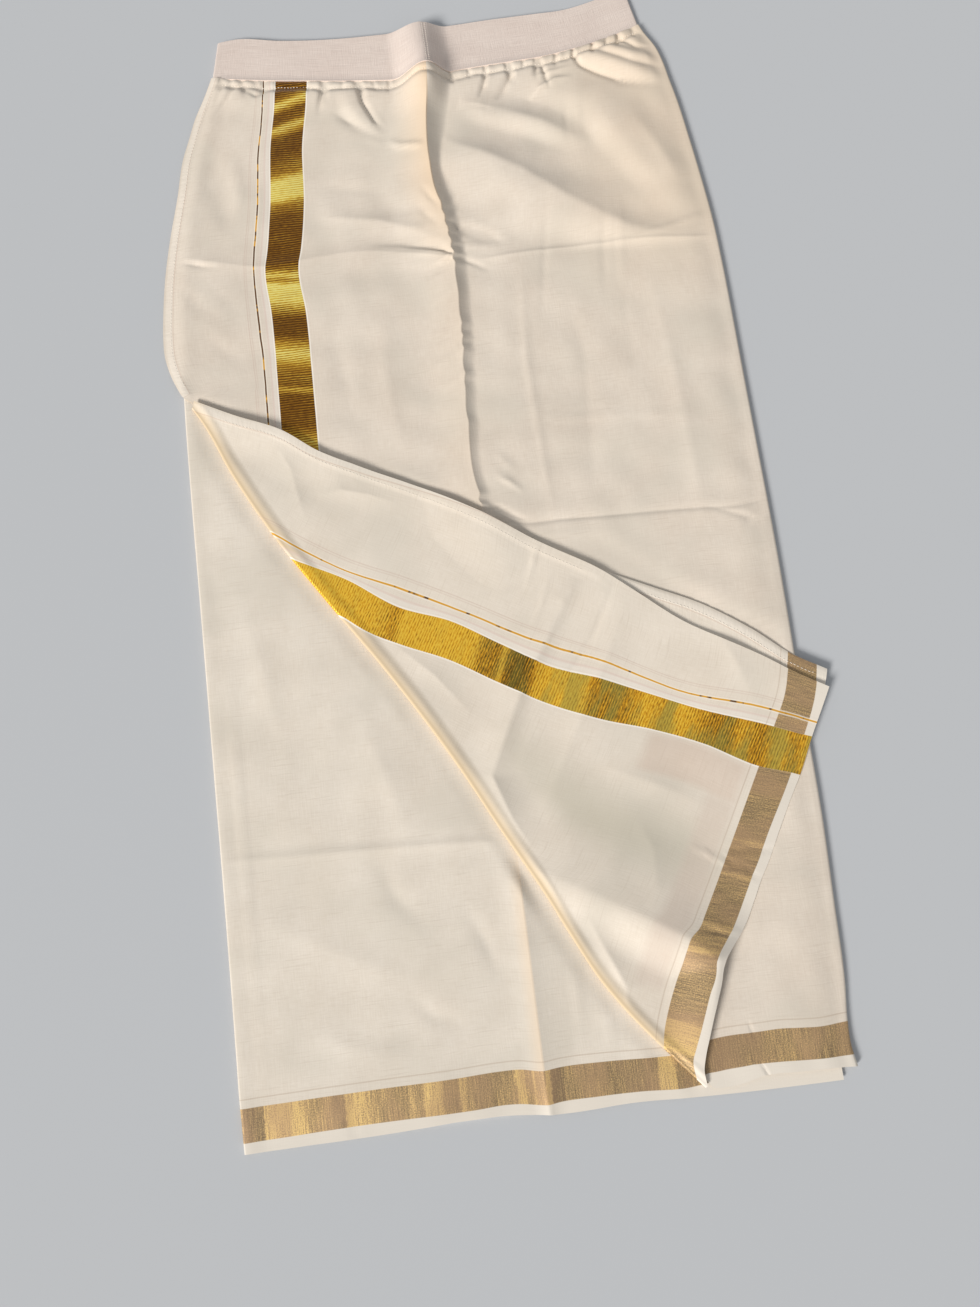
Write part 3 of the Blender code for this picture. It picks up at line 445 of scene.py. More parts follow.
INNER_CREASES = folded(
    [(-10, -292, 1, 26, 20), (-10, -327, 3, 30, 24), (-10, -375, 2.8, 32, 24), (-10, -414, 2.4, 32, 22),
     (-10, -473, 2, 26, 18), (-9, -508, 1.8, 14, 12)],
    [(23, -385, 0, 8, 6), (24, -426, 0.8, 9, 6), (23, -470, 0, 8, 6)],
    [(42, -420, 0, 6, 4), (45, -448, 0.8, 7, 4), (46, -474, 0, 6, 4)],
    [(57, -322, 0, 4), (54, -333, 0.9, 5, 4), (50, -342, 0, 4)],
    [(-165, -470, 0, 3), (-164, -488, -0.7, 3), (-163, -506, -0.4, 3)],
    [(-230, -470, 0, 3), (-229, -488, -0.7, 3), (-229, -506, -0.4, 3)],
    [(-236, -110, 0, 4, 6), (-234, -200, 0.6, 4, 6), (-231, -330, 0.6, 4, 6), (-229, -470, 0.3, 4, 6)],
    [(-226, -40, 0, 20), (-205, -130, 0.9, 26), (-188, -230, 0, 20)],
    [(-130, -160, 0, 26), (-110, -230, 1.1, 30, 26), (-96, -286, 0, 20)],
    [(-228, -330, 0, 30), (-160, -368, 1, 34, 30), (-96, -398, 0, 26)],
    [(-126, -292, 0, 14), (-112, -330, -1, 18, 16), (-84, -360, 0, 16, 14)],
    [(-60, -340, 0, 14, 12), (-44, -372, -1.1, 18, 14), (-34, -406, 0, 14, 12)],
    [(-112, -404, 0, 12), (-92, -424, -0.9, 14, 12), (-66, -432, 0, 12)],
    [(-200, -420, 0, 24), (-160, -440, 0.9, 26, 24), (-110, -452, 0, 20)],
)
FLAP_CREASES = folded(
    [(108, -80, 0, 4), (93, -106, -0.7, 6, 4), (76, -134, -1, 7, 4), (44, -174, -0.7, 6, 4),
     (30, -180, 0, 4)],
    [(56, -165, 0, 4), (44, -174, 0.8, 4, 5), (32, -182, 0, 4)],
    [(43, -44, 0, 3), (36, -60, 1.2, 4), (26, -84, 0, 3)],
    [(52, -66, 0, 4), (38, -98, 0.7, 5, 4), (20, -130, 0, 4)],
    [(72, -80, 0, 12, 22), (58, -100, 1.8, 14, 30), (32, -140, 3, 15, 40), (11, -172, 3, 15, 40),
     (-6, -206, 3, 16, 36), (-22, -240, 2.4, 20, 30), (-10, -276, 1.8, 26, 22), (6, -308, 0, 24, 14)],
    [(112, -100, 0, 26), (88, -150, 1.6, 32, 28), (58, -200, 1.9, 34, 28), (30, -250, 0.9, 28, 24),
     (14, -280, 0, 20)],
    [(-176, 72, 0, 14, 20), (-166, 50, 0.9, 17, 24), (-162, 26, 1, 17, 24), (-158, 2, 0, 14, 18)],
    [(-146, 22, 0, 14, 16), (-124, 25, 1.1, 17, 22), (-100, 18, 0.8, 16, 20), (-74, 6, 0, 14, 16)],
    [(90, -284, 0, 16, 22), (102, -315, 0.7, 22, 28), (100, -345, 0.6, 20, 24), (90, -362, 0, 14, 12)],
    [(40, -360, 0, 18, 12), (48, -381, 1.4, 24, 16), (58, -405, 2.2, 26, 16), (64, -420, 1.4, 22, 12),
     (62, -438, 0, 14, 8)],
    [(-10, -314, 0, 4), (4, -328, -1.6, 6), (13, -342, -0.8, 5), (18, -352, 0, 4)],
    [(212, -328, 0, 3), (182, -326, -1, 4), (152, -322, 0, 3)],
    [(132, -316, 0, 4), (150, -327, 1.2, 4), (174, -343, 0.4, 4)],
    [(144, -322, 0, 3), (163, -334, -1.2, 4), (186, -349, -0.4, 3)],
    [(132, -377, 0, 3), (146, -383, 1.1, 4), (160, -389, 0.3, 3)],
    [(130, -380, 0, 3), (140, -386, -1.2, 4, 3), (152, -391, 0, 3)],
    [(180, -130, 0, 20), (196, -170, 0.9, 24, 22), (206, -206, 0, 20)],
    [(60, -238, 0, 20), (110, -262, 1, 26, 22), (150, -284, 0, 20)],
    [(-100, -110, 0, 14), (-60, -150, 0.9, 18, 16), (-30, -190, 0, 14)],
)

# Runs of rows of a sheet's mesh, with how far apart they are.
Stretch = namedtuple("Stretch", "start end pitch")
WAIST_ROWS = named(Stretch, (436, 388, 1.5))
FRONT_ROWS = named(
    Stretch, (386, 300, 3), (300, 256, 2.3), (256, 244, 1.2), (244, 222, 2.2), (222, 20, 4),
    (20, -20, 2.6), (-20, -34, 1.2), (-34, -40, 2),
)
COVERED_ROWS = named(Stretch, (-44, -458, 7), (-460, -508, 3.6))
INNER_ROWS = named(
    Stretch, (436, 140, 14), (140, -270, 5), (-270, -296, 1.8), (-296, -460, 4.2), (-460, -508, 2.6),
)
BACK_ROWS = named(Stretch, (436, -440, 14), (-440, -508, 3.4))
EDGE_COLUMNS = (0.0, 1.0, 4.5, 8.0, 9.4, 12.0)
BACK_COLUMNS = 46
INNER_LEFT_COLUMNS = 70
INNER_RIGHT_COLUMNS = 52
FRONT_LEFT_COLUMNS = 64
FRONT_RIGHT_COLUMNS = 93
FLAP_COLUMNS = 122
FLAP_TIP_ROWS = 16
FLAP_ROWS = 250
MARGIN_COLUMNS = 150
MARGIN_ROWS = 16
BAND_ROWS = 30
BAND_BACK_COLUMNS = 60
BAND_FRONT_COLUMNS = 260

# Unevenness of a laid sheet: how high its waves are, about how long, and the seed of their turns.
Ripple = namedtuple("Ripple", "height reach seed")
FRONT_RIPPLES = named(Ripple, (0.1, 90, 3), (0.068, 36, 8))
INNER_RIPPLES = named(Ripple, (0.1, 90, 12), (0.068, 36, 14))
FLAP_RIPPLES = named(Ripple, (0.1, 80, 5), (0.04, 34, 9))
BAND_RIPPLES = named(Ripple, (0.06, 60, 21))
WAVES = 9


def read(table, column, at, value):
    """Value of one column where another has the value at, on a smooth curve through the rows."""
    xs = np.array([getattr(row, at) for row in table], float)
    ys = np.array([getattr(row, column) for row in table], float)
    if xs[0] > xs[-1]:
        xs, ys = xs[::-1], ys[::-1]
    slopes = np.gradient(ys, xs)
    value = np.clip(value, xs[0], xs[-1])
    i = np.clip(np.searchsorted(xs, value) - 1, 0, len(xs) - 2)
    span = xs[i + 1] - xs[i]
    u = (value - xs[i]) / span
    return (
        ys[i] * (1 + 2 * u) * (1 - u) ** 2
        + ys[i + 1] * u * u * (3 - 2 * u)
        + span * (slopes[i] * u * (1 - u) ** 2 - slopes[i + 1] * u * u * (1 - u))
    )


# A place on a curve, and the share of the curve's length at which it lies.
Run = namedtuple("Run", "run x y")


def along(table, share):
    """Places at these shares of the length of a smooth curve through the table's places."""
    places = np.array(table, float)
    steps = np.hypot(*np.diff(places, axis=0).T)
    run = np.concatenate([[0.0], np.cumsum(steps)]) / steps.sum()
    rows = [Run(r, x, y) for r, (x, y) in zip(run, places)]
    return np.stack([read(rows, "x", "run", share), read(rows, "y", "run", share)], axis=-1)


def ease(value, start, end):
    """Goes smoothly from 0 at start to 1 at end."""
    u = np.clip((value - start) / (end - start), 0.0, 1.0)
    return u * u * (3 - 2 * u)


def soft(apart):
    """Profile of a rounded fold."""
    return 0.5 + 0.5 * np.cos(np.pi * apart)


def sharp(apart):
    """Profile of a pressed crease, which comes to an edge at its crest."""
    return (1.0 - apart) ** 2


def raised(fold, x, y, left_profile=soft, right_profile=soft):
    """Height that one fold gives the cloth at each place."""
    nearest = np.full(np.shape(x), np.inf)
    height = np.zeros(np.shape(x))
    for a, b in zip(fold, fold[1:]):
        way_x, way_y = b.x - a.x, b.y - a.y
        off_x, off_y = x - a.x, y - a.y
        u = np.clip((off_x * way_x + off_y * way_y) / (way_x**2 + way_y**2), 0.0, 1.0)
        apart = np.hypot(off_x - u * way_x, off_y - u * way_y)
        is_left = way_x * off_y - way_y * off_x > 0
        left = left_profile(np.minimum(1.0, apart / (a.left + u * (b.left - a.left))))
        right = right_profile(np.minimum(1.0, apart / (a.right + u * (b.right - a.right))))
        here = (a.height + u * (b.height - a.height)) * np.where(is_left, left, right)
        height = np.where(apart < nearest, here, height)
        nearest = np.minimum(nearest, apart)
    return height


def pressed(table, x, y):
    """Height that a crease pressed across the cloth gives it."""
    off = y - read(table, "y", "x", x)
    reach = np.where(off > 0, read(table, "above", "x", x), read(table, "below", "x", x))
    return read(table, "height", "x", x) * sharp(np.minimum(1.0, np.abs(off) / reach))


def creased(folds, x, y):
    """Height that many small creases give the cloth together."""
    return CREASE_DEPTH * sum(raised(fold, x, y, sharp, sharp) for fold in folds)


def ripples(table, x, y):
    """Slight unevenness of laid cloth: each row of the table gives waves in several directions."""
    total = np.zeros(np.shape(x))
    for row in table:
        rng = np.random.default_rng(row.seed)
        for _ in range(WAVES):
            turn = rng.uniform(0.0, np.pi)
            length = row.reach * rng.uniform(0.7, 1.6)
            phase = rng.uniform(0.0, 2 * np.pi)
            bend = 0.35 * row.reach * np.sin((x - y) / (2.3 * row.reach) + phase)
            way = x * np.cos(turn) + y * np.sin(turn) + bend
            total += row.height * np.sin(2 * np.pi * way / length + phase)
    return total


def seam_y(x):
    """Where the band is sewn on."""
    return read(BAND_SEAM, "y", "x", x)


def row_y(row, x, hem, presses=()):
    """Rows follow the curved seam near the band, the hem near the hem, and pressed creases."""
    seam_share = ease(row, SEAM_BEND_END, SEAM_BEND_FULL)
    hem_share = 1.0 - ease(row, HEM_Y, HEM_BEND_END)
    y = row + seam_share * (seam_y(x) - WAIST_Y) + hem_share * (read(hem, "y", "x", x) - HEM_Y)
    for table, level in presses:
        y = y + (1 - ease(np.abs(row - level), 0.0, PRESS_BEND)) * (read(table, "y", "x", x) - level)
    return y


# Pressed creases that a sheet's rows bend to follow, each with the row that lies on it.
OUTER_PRESSES = ((HIGH_CREASE, 250.0), (LOW_CREASE, -27.0))
INNER_PRESSES = ((INNER_CREASE, -288.0),)


def left_fold(y):
    """X of the garment's left side."""
    return read(SIDES, "left_fold", "y", y)


def right_fold(y):
    """X of the garment's right side."""
    return read(SIDES, "right_fold", "y", y)


def roll_start(y):
    """X where the outer front starts to roll round the right side."""
    return right_fold(y) - RIGHT_ROLL


def inner_top(x, y):
    """Upper face of the inner front: flat on the back, rising to the roll at the left fold."""
    from_roll = x - left_fold(y) - LEFT_ROLL
    return INNER_TOP + (2 * LEFT_ROLL - INNER_TOP) * (1 - ease(from_roll, 0.0, ROLL_RISE))


def ridge_x(y):
    """Crest of the centre ridge."""
    return read(CENTRE_RIDGE, "x", "y", y) + 0.5 * np.sin(y / 19.0) + read(NOTCHES, "shift", "y", y)


def centre_ridge(x, y):
    """The pressed centre crease standing up: a long slope on its left, an edge, a steep fall right."""
    off = x - ridge_x(y)
    crest, left, right = (read(CENTRE_RIDGE, column, "y", y) for column in ("height", "left", "right"))
    edged = 1 - ease(y, BLUNT_START, BLUNT_END)
    apart_left = np.clip(-off / left, 0.0, 1.0)
    apart_right = np.clip(off / right, 0.0, 1.0)
    slope = soft(apart_left) * (1 - EDGED * edged) + EDGED * edged * (1 - apart_left) ** 2.0
    fall = soft(apart_right) * (1 - edged) + edged * (1 - apart_right) ** 1.6
    wrinkles = 0.35 * read(NOTCHES, "shift", "y", y) * np.exp(-((off / 9.0) ** 2)) * edged
    return crest * np.where(off < 0, slope, fall) + wrinkles


def heading_at(x):
    """How far below the band the gathering is stitched, which wavers a little."""
    return HEADING + 0.8 * np.sin(x / 9.0) + 0.5 * np.sin(x / 4.3 + 1.0)


def gathers(x, below):
    """Puffed heading and pinches of the gathered cloth at a distance below the band."""
    heading = heading_at(x)
    middle = heading / 2
    uneven = 0.72 + 0.26 * np.sin(x / 7.3) * np.sin(x / 3.1 + 2.0) + 0.14 * np.sin(x / 19.0)
    puff = HEADING_PUFF * uneven * np.clip(1 - ((below - middle) / middle) ** 2, 0.0, None) ** 0.7
    stitched = -STITCHED_DOWN * np.clip(1 - np.abs(below - heading) / STITCHED_HALF, 0.0, 1.0)
    full = heading + SWELL_START
    swell = SWELL_BELOW * ease(below, heading, full) * (1 - ease(below, full, SWELL_END))
    pinched = np.zeros(np.shape(x))
    for pinch in PINCHES:
        half = pinch.half + PINCH_SPREAD * below
        apart = np.minimum(1.0, np.abs(x - pinch.x - PINCH_LEAN * below * np.sin(pinch.x)) / half)
        fade = 1 - ease(below, pinch.reach * 0.5, pinch.reach * 1.6)
        pinched = np.maximum(pinched, PINCH_DEPTH * pinch.depth * fade * (1 - apart) ** 1.5)
    return puff + stitched + swell - pinched


def pair(x, y):
    """Places from their X and Y."""
    return np.stack([x, y], axis=-1)


def unit(ways):
    """The same directions with length 1."""
    return ways / np.hypot(ways[:, 0], ways[:, 1])[:, None]


def slanted(place):
    """Distances from the turned corner's tip along and across its upper edge."""
    tip, end = np.array(FLAP_EDGE[0]), np.array(FLAP_EDGE[-1])
    way = (end - tip) / np.hypot(*(end - tip))
    off = place - tip
    return off @ way, off @ np.array([way[1], -way[0]])


Slant = namedtuple("Slant", "run drop")


def slanted_table(table, at="run"):
    """A table's places as distances along and across the turned corner's upper edge."""
    rows = [Slant(run, drop) for run, drop in zip(*slanted(np.array(table, float)))]
    return sorted(rows, key=lambda row: getattr(row, at))


SLANTED_EDGE = slanted_table(FLAP_EDGE)
SLANTED_THIN = slanted_table(FLAP_THIN)
SLANTED_STRIPE_TOP = slanted_table(FLAP_STRIPE_TOP)
SLANTED_STRIPE_LOW = slanted_table(FLAP_STRIPE_LOW)
SLANTED_HEM = slanted_table(FLAP_HEM, "drop")
SLANTED_BORDER_OUT = slanted_table(FLAP_BORDER_OUT, "drop")
SLANTED_BORDER_IN = slanted_table(FLAP_BORDER_IN, "drop")


def under_corner(x, y):
    """1 where the turned corner or its margin lies over the cloth, 0 where neither does."""
    run, drop = slanted(pair(x, y))
    margin = MARGIN_WIDE * ease(run, *MARGIN_WIDENS)
    below_edge = ease(drop - read(SLANTED_EDGE, "drop", "run", run) + margin, -9.0, 1.0)
    before_hem = ease(read(SLANTED_HEM, "run", "drop", drop) - run, -4.0, 8.0)
    return below_edge * before_hem


def hem_step(from_edge):
    """How much thicker the turned and sewn hem makes the cloth, at a distance from its edge."""
    return HEM_RISE * (1 - ease(from_edge, SIDE_HEM - 0.9, SIDE_HEM + 0.5))


def outer_top(x, y):
    """Upper face of the outer front, lying on the inner front, with its folds."""
    left, right = left_fold(y) + LEFT_ROLL, roll_start(y)
    level = inner_top(np.maximum(x, left), y) + LAYER_GAP
    level = level - np.minimum(level - HANG_CLEAR, DROOP * np.maximum(0.0, left - DROOP_START - x))
    level = level + (2 * RIGHT_ROLL - OUTER_TOP) * ease(x, right - ROLL_RISE, right)
    inside = ease(right - x, 0.0, ROLL_RISE) * ease(x - left, -ROLL_RISE / 2, ROLL_RISE)
    folds = [raised(fold, x, y) for fold in FRONT_FOLDS]
    folds += [raised(fold, x, y, sharp) for fold in EDGED_FOLDS]
    folds = np.maximum.reduce(folds + [centre_ridge(x, y)])
    pillow = PILLOW * ease(right - x, 0.0, PILLOW_EDGE) * (1 - ease(right - x, PILLOW_EDGE, PILLOW_END))
    below = np.maximum(0.0, seam_y(x) - y)
    relief = creased(FRONT_CREASES, x, y) + pressed(HIGH_CREASE, x, y) + pressed(LOW_CREASE, x, y)
    relief = relief + pillow + ripples(FRONT_RIPPLES, x, y) + LOFT * ease(below, 2.0, 16.0)
    shape = folds + gathers(x, below) + relief * (1 - under_corner(x, y))
    side_hem = hem_step(x - outer_left(y)) * (y > TURN_TOP)
    return level + WALL + np.maximum(LEAST_RELIEF, inside * shape) + side_hem


def crease_inset(y):
    """How far along X the outer front's cut lies from the crease, to leave room for its roll."""
    step = 2.0
    y = np.clip(y, CREASE[-1].y + step, CREASE[0].y - step)
    slope = (read(CREASE, "x", "y", y + step) - read(CREASE, "x", "y", y - step)) / (2 * step)
    return (CREASE_ROLL + ROLL_TAIL + CREASE_GAP) * np.hypot(1.0, slope)


def outer_left(y):
    """Left end of the outer front: its free edge, and below the turn the crease."""
    shift = ease(-y, -TURN_TOP, -TURN_SHIFT_END)
    turned = read(CREASE, "x", "y", y) + shift * crease_inset(y)
    return np.where(y >= TURN_TOP, read(FREE_EDGE, "x", "y", y), turned)


def stretches(table):
    """Values through a table of stretches, each evenly spaced at about its own pitch, as a column."""
    values = []
    for part in table:
        count = max(1, round(abs(part.end - part.start) / part.pitch))
        values += list(np.linspace(part.start, part.end, count + 1)[:-1])
    return np.array(values + [table[-1].end])[:, None]


def crowded(count, power):
    """Shares from 0 to 1 that lie closer together towards 1."""
    return 1 - (1 - np.linspace(0.0, 1.0, count)) ** power


def between(columns):
    """The same columns with one more halfway between each two."""
    made = np.empty((columns.shape[0], 2 * columns.shape[1] - 1))
    made[:, ::2] = columns
    made[:, 1::2] = (columns[:, 1:] + columns[:, :-1]) / 2
    return made


def roll_angles(start, end):
    """Angles of the points round a roll, with 0 to the right."""
    return np.radians(np.linspace(start, end, ROLL_STEPS + 1))


def rolled(centre, radius, angles):
    """X and Z of a roll that rests on the floor."""
    x = centre + radius * np.cos(angles)
    return x, np.broadcast_to(radius * (1 + np.sin(angles)), x.shape)


def woven_distance(at, lines, distances):
    """Distance on the cloth at each place, from where woven lines of known distances lie."""
    found = None
    for i, (line, distance) in enumerate(zip(lines, distances)):
        if i + 1 < len(lines):
            apart = np.maximum(2.0, lines[i + 1] - line)
            here = distance + (distances[i + 1] - distance) * (at - line) / apart
        else:
            here = distance + at - line
        found = here if found is None else np.where(at > line, here, found)
    return found


def border_distance(x, y, *lines):
    """Distance on the cloth up from the hem's edge, from where it and the border's edges lie."""
    return woven_distance(y, [read(line, "y", "x", x) for line in lines], BORDER_LINES)


# A row of a sheet's mesh: places on its outer face, their places on the uncut cloth, and how much
# light that comes through the cloth is painted there, or below 0 how much shade.
Grid = namedtuple("Grid", "places cloth glow")


def grid_rows(x, y, z, q, t, glow=None):
    """Rows of a sheet's mesh, from the lowest up so that the sheet faces up."""
    glow = np.zeros(x.shape) if glow is None else glow
    places = np.stack([x, y, z], axis=-1)
    cloth = np.stack([q, t], axis=-1)
    return [Grid(*row) for row in zip(places, cloth, glow)][::-1]


def join(low, high):
    """Faces between two rows of points, of which one may have a point more between each two."""
    if len(low) == len(high):
        return [(low[i], low[i + 1], high[i + 1], high[i]) for i in range(len(low) - 1)]
    faces = []
    for i in range(min(len(low), len(high)) - 1):
        if len(low) > len(high):
            a, middle, b = low[2 * i : 2 * i + 3]
            faces += [(a, middle, high[i]), (middle, high[i + 1], high[i]), (middle, b, high[i + 1])]
        else:
            a, middle, b = high[2 * i : 2 * i + 3]
            faces += [(low[i], middle, a), (low[i], low[i + 1], middle), (low[i + 1], b, middle)]
    return faces


def add_mesh(name, points, faces, material):
    """A piece of the object: it rides on the body, and its points are in millimetres."""
    mesh = bpy.data.meshes.new(name)
    mesh.from_pydata((np.asarray(points) * MM).tolist(), [], faces)
    mesh.polygons.foreach_set("use_smooth", [True] * len(mesh.polygons))
    mesh.materials.append(material)
    piece = bpy.data.objects.new(name, mesh)
    bpy.context.scene.collection.objects.link(piece)
    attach(piece, "root")
    return piece


def add_sheet(name, rows, material, wall=CLOTH, ring=False):
    """A sheet of cloth from the rows of its mesh."""
    ends = np.cumsum([len(row.places) for row in rows])
    index = [list(range(end - len(row.places), end)) for row, end in zip(rows, ends)]
    if ring:
        index = [row + row[:1] for row in index]
    faces = [face for low, high in zip(index, index[1:]) for face in join(low, high)]
    piece = add_mesh(name, np.concatenate([row.places for row in rows]), faces, material)
    mesh = piece.data
    corners = np.empty(len(mesh.loops), np.int32)
    mesh.loops.foreach_get("vertex_index", corners)
    cloth = np.concatenate([row.cloth for row in rows]) * MM
    mesh.uv_layers.new(name="cloth").data.foreach_set("uv", cloth[corners].ravel())
    glow = np.concatenate([row.glow for row in rows])
    mesh.attributes.new("glow", "FLOAT", "POINT").data.foreach_set("value", glow)
    keep_rim_sharp(mesh)
    thicken = piece.modifiers.new("cloth wall", "SOLIDIFY")
    thicken.thickness = wall * MM
    thicken.offset = -1.0
    return piece


def keep_rim_sharp(mesh):
    """Marks the sheet's outline sharp, so that its thin cut edge doesn't darken the face."""
    used = np.empty(len(mesh.loops), np.int32)
    mesh.loops.foreach_get("edge_index", used)
    is_rim = np.bincount(used, minlength=len(mesh.edges)) == 1
    mesh.attributes.new("sharp_edge", "BOOLEAN", "EDGE").data.foreach_set("value", is_rim)


def back_panel(material):
    """The back layer between the two rolled sides, flat on the floor."""
    rows = stretches(BACK_ROWS)
    start = left_fold(row_y(rows, -BAND_END, BACK_HEM)) + LEFT_ROLL + ROLL_TAIL + FOLD_GAP
    end = roll_start(row_y(rows, BAND_END, BACK_HEM)) - ROLL_TAIL - FOLD_GAP
    x = start + (end - start) * np.linspace(0.0, 1.0, BACK_COLUMNS)
    y = row_y(rows, x, BACK_HEM)
    z = np.full(x.shape, BACK_TOP)
    t = y - read(BACK_HEM, "y", "x", x)
    piece = add_sheet("back_cloth", grid_rows(x, y, z, x + BACK_START, t), material, wall=BACK_TOP)
    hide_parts("back_panel")


def inner_front(material):
    """The inner front from the roll of the left side to its end under the outer front."""
    rows = stretches(INNER_ROWS)
    centre = left_fold(row_y(rows, -BAND_END, INNER_HEM)) + LEFT_ROLL
    end = roll_start(row_y(rows, BAND_END, INNER_HEM)) - ROLL_TAIL - INNER_CLEAR
    end = np.minimum(INNER_END, end)
    roll_x, roll_z = rolled(centre, LEFT_ROLL, roll_angles(-90.0, -270.0))
    left_x = centre + (INNER_CREASE_X - centre) * crowded(INNER_LEFT_COLUMNS, 1.3)[1:]
    right_x = INNER_CREASE_X + (end - INNER_CREASE_X) * (1 - crowded(INNER_RIGHT_COLUMNS, 1.3)[::-1][1:])
    flat_x = np.concatenate([left_x, right_x], axis=1)
    flat_y = row_y(rows, flat_x, INNER_HEM, INNER_PRESSES)
    relief = creased(INNER_CREASES, flat_x, flat_y) + pressed(INNER_CREASE, flat_x, flat_y)
    relief = relief + ripples(INNER_RIPPLES, flat_x, flat_y) + LOFT
    bare = ease(read(CREASE, "x", "y", flat_y) - 5.0 - flat_x, 0.0, 14.0) * (flat_y < TURN_TOP)
    inside = ease(flat_x - centre, 0.0, ROLL_RISE)
    flat_z = inner_top(flat_x, flat_y) + inside * bare * np.maximum(LEAST_RELIEF, relief)
    x = np.concatenate([centre + ROLL_TAIL, roll_x, flat_x], axis=1)
    z = np.concatenate([np.zeros_like(centre), roll_z, flat_z], axis=1)
    y = row_y(rows, x, INNER_HEM, INNER_PRESSES)
    t = border_distance(x, y, INNER_HEM, INNER_BORDER_LOW, INNER_BORDER_TOP)
    # Painted light through the cloth beside the inner front's centre crease.
    off = INNER_CREASE_X - x
    near = np.where(off > -0.5, np.clip(1 - off / INNER_GLOW_WIDE, 0, 1), 0.0)
    glow = INNER_GLOW * near * ease(-y, 280, 340)
    piece = add_sheet("inner_front_cloth", grid_rows(x, y, z, x + INNER_START, t, glow), material)
    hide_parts("inner_front")


def outer_y(rows, x):
    """Y of the outer front's rows at X."""
    return row_y(rows, x, OUTER_HEM, OUTER_PRESSES)


def front_columns(rows):
    """Places along X of the outer front's columns, of which one runs along the centre ridge."""
    start = outer_left(outer_y(rows, -BAND_END))
    for _ in range(3):
        start = outer_left(outer_y(rows, start))
    end = roll_start(outer_y(rows, BAND_END))
    ridge_y = outer_y(rows, 0.0)
    last_start = outer_left(RIDGE_END)
    last_share = (ridge_x(RIDGE_END) - last_start) / (roll_start(RIDGE_END) - last_start)
    past = start + last_share * (end - start)
    middle = np.where(ridge_y > RIDGE_END, ridge_x(np.maximum(ridge_y, RIDGE_END)), past)
    edge_x = start + np.array(EDGE_COLUMNS)
    left_x = edge_x[:, -1:] + (middle - edge_x[:, -1:]) * crowded(FRONT_LEFT_COLUMNS, 1.35)[1:]
    right_x = middle + (end - middle) * (1 - crowded(FRONT_RIGHT_COLUMNS, 1.35)[::-1][1:])
    return np.concatenate([edge_x, left_x, right_x], axis=1)


def stripe_distance(x, y):
    """Distance on the cloth from its free edge, from where the woven lines lie on the front."""
    thin, left, right = (read(line, "x", "y", y) for line in (FRONT_THIN, STRIPE_LEFT, STRIPE_RIGHT))
    start = np.where(y > TURN_TOP, read(FREE_EDGE, "x", "y", y), thin - THIN_LINE)
    return woven_distance(x, (start, thin, left, right), (0.0, *STRIPE_LINES))


def ridge_glow(x, y):
    """Painted light that comes through the lifted cloth left of the centre ridge, and the same warm glow
    painted at the hip.
    """
    off = ridge_x(y) - x
    near = np.where(off > -1.0, RIDGE_GLOW * np.clip(1 - off / RIDGE_GLOW_WIDE, 0.0, 1.0) ** 1.3, 0.0)
    beside_ridge = near * (0.22 + 0.78 * ease(y, 210, 320)) * ease(y, RIDGE_END, RIDGE_END + 30)
    return beside_ridge + HIP_GLOW * ease(x, 60, 210) * ease(y, 130, 290)


def front_band(table, spacing):
    """Rows of the outer front, with twice its usual columns, all of them, or half."""
    rows = stretches(table)
    flat_x = front_columns(rows)
    angles = roll_angles(90.0, -90.0)
    if spacing == "fine":
        flat_x = between(flat_x)
        angles = between(angles[None])[0]
    if spacing == "coarse":
        flat_x = flat_x[:, ::2]
        angles = angles[::2]
    flat_y = outer_y(rows, flat_x)
    roll_x, roll_z = rolled(flat_x[:, -1:], RIGHT_ROLL, angles[1:])
    x = np.concatenate([flat_x, roll_x], axis=1)
    z = np.concatenate([outer_top(flat_x, flat_y), roll_z], axis=1)
    y = outer_y(rows, x)
    t = border_distance(x, y, OUTER_HEM, OUTER_BORDER_LOW, OUTER_BORDER_TOP)
    return grid_rows(x, y, z, stripe_distance(x, y), t, ridge_glow(x, y))


def outer_front(material):
    """The outer front from its free edge or the corner's crease, with the roll of the right side."""
    rows = front_band(COVERED_ROWS, "coarse") + front_band(FRONT_ROWS, "usual")
    rows += front_band(WAIST_ROWS, "fine")
    piece = add_sheet("outer_front_cloth", rows, material)
    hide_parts("outer_front")


def flap_place(share, across):
    """Places on the turned corner: share runs from its tip to its hem, across from crease to edge."""
    ends = along(FLAP_HEM, np.array([0.0, 1.0]))
    chord = (1 - across)[..., None] * ends[0] + across[..., None] * ends[1]
    bulge = along(FLAP_HEM, across) - chord
    place = (1 - across)[..., None] * along(CREASE, share) + across[..., None] * along(FLAP_EDGE, share)
    return place + bulge * (share**4)[..., None]


def inside_edge(share, apart):
    """Places this far inside the turned corner's upper edge, at shares of its length."""
    edge = along(FLAP_EDGE, share)
    return edge + unit(flap_place(share, np.zeros_like(share)) - edge) * apart


def front_under(x, y):
    """Upper face of the flat outer front under the turned corner."""
    return inner_top(np.minimum(x, roll_start(y)), y) + LAYER_GAP + WALL


def flap_top(x, y):
    """Upper face of the turned corner away from its crease, lying on the outer front."""
    level = np.maximum(front_under(x, y), OUTER_TOP + raised(FLAP_BRIDGE, x, y))
    level = np.maximum(level, OUTER_TOP + 0.35 + centre_ridge(np.minimum(x, roll_start(y)), y))
    lift = np.maximum(raised(FLAP_EDGE_LIFT, x, y), raised(FLAP_RIDGE, x, y, sharp, soft))
    relief = np.maximum(-0.3, ripples(FLAP_RIPPLES, x, y) + creased(FLAP_CREASES, x, y) + FLAP_LOFT)
    run, drop = slanted(pair(x, y))
    from_edge = drop - read(SLANTED_EDGE, "drop", "run", run)
    side_hem = hem_step(from_edge) * (1 - ease(run, *FLAP_HEM_ENDS))
    return level + LAYER_GAP + FLAP_CLEAR + lift + WALL + relief + side_hem


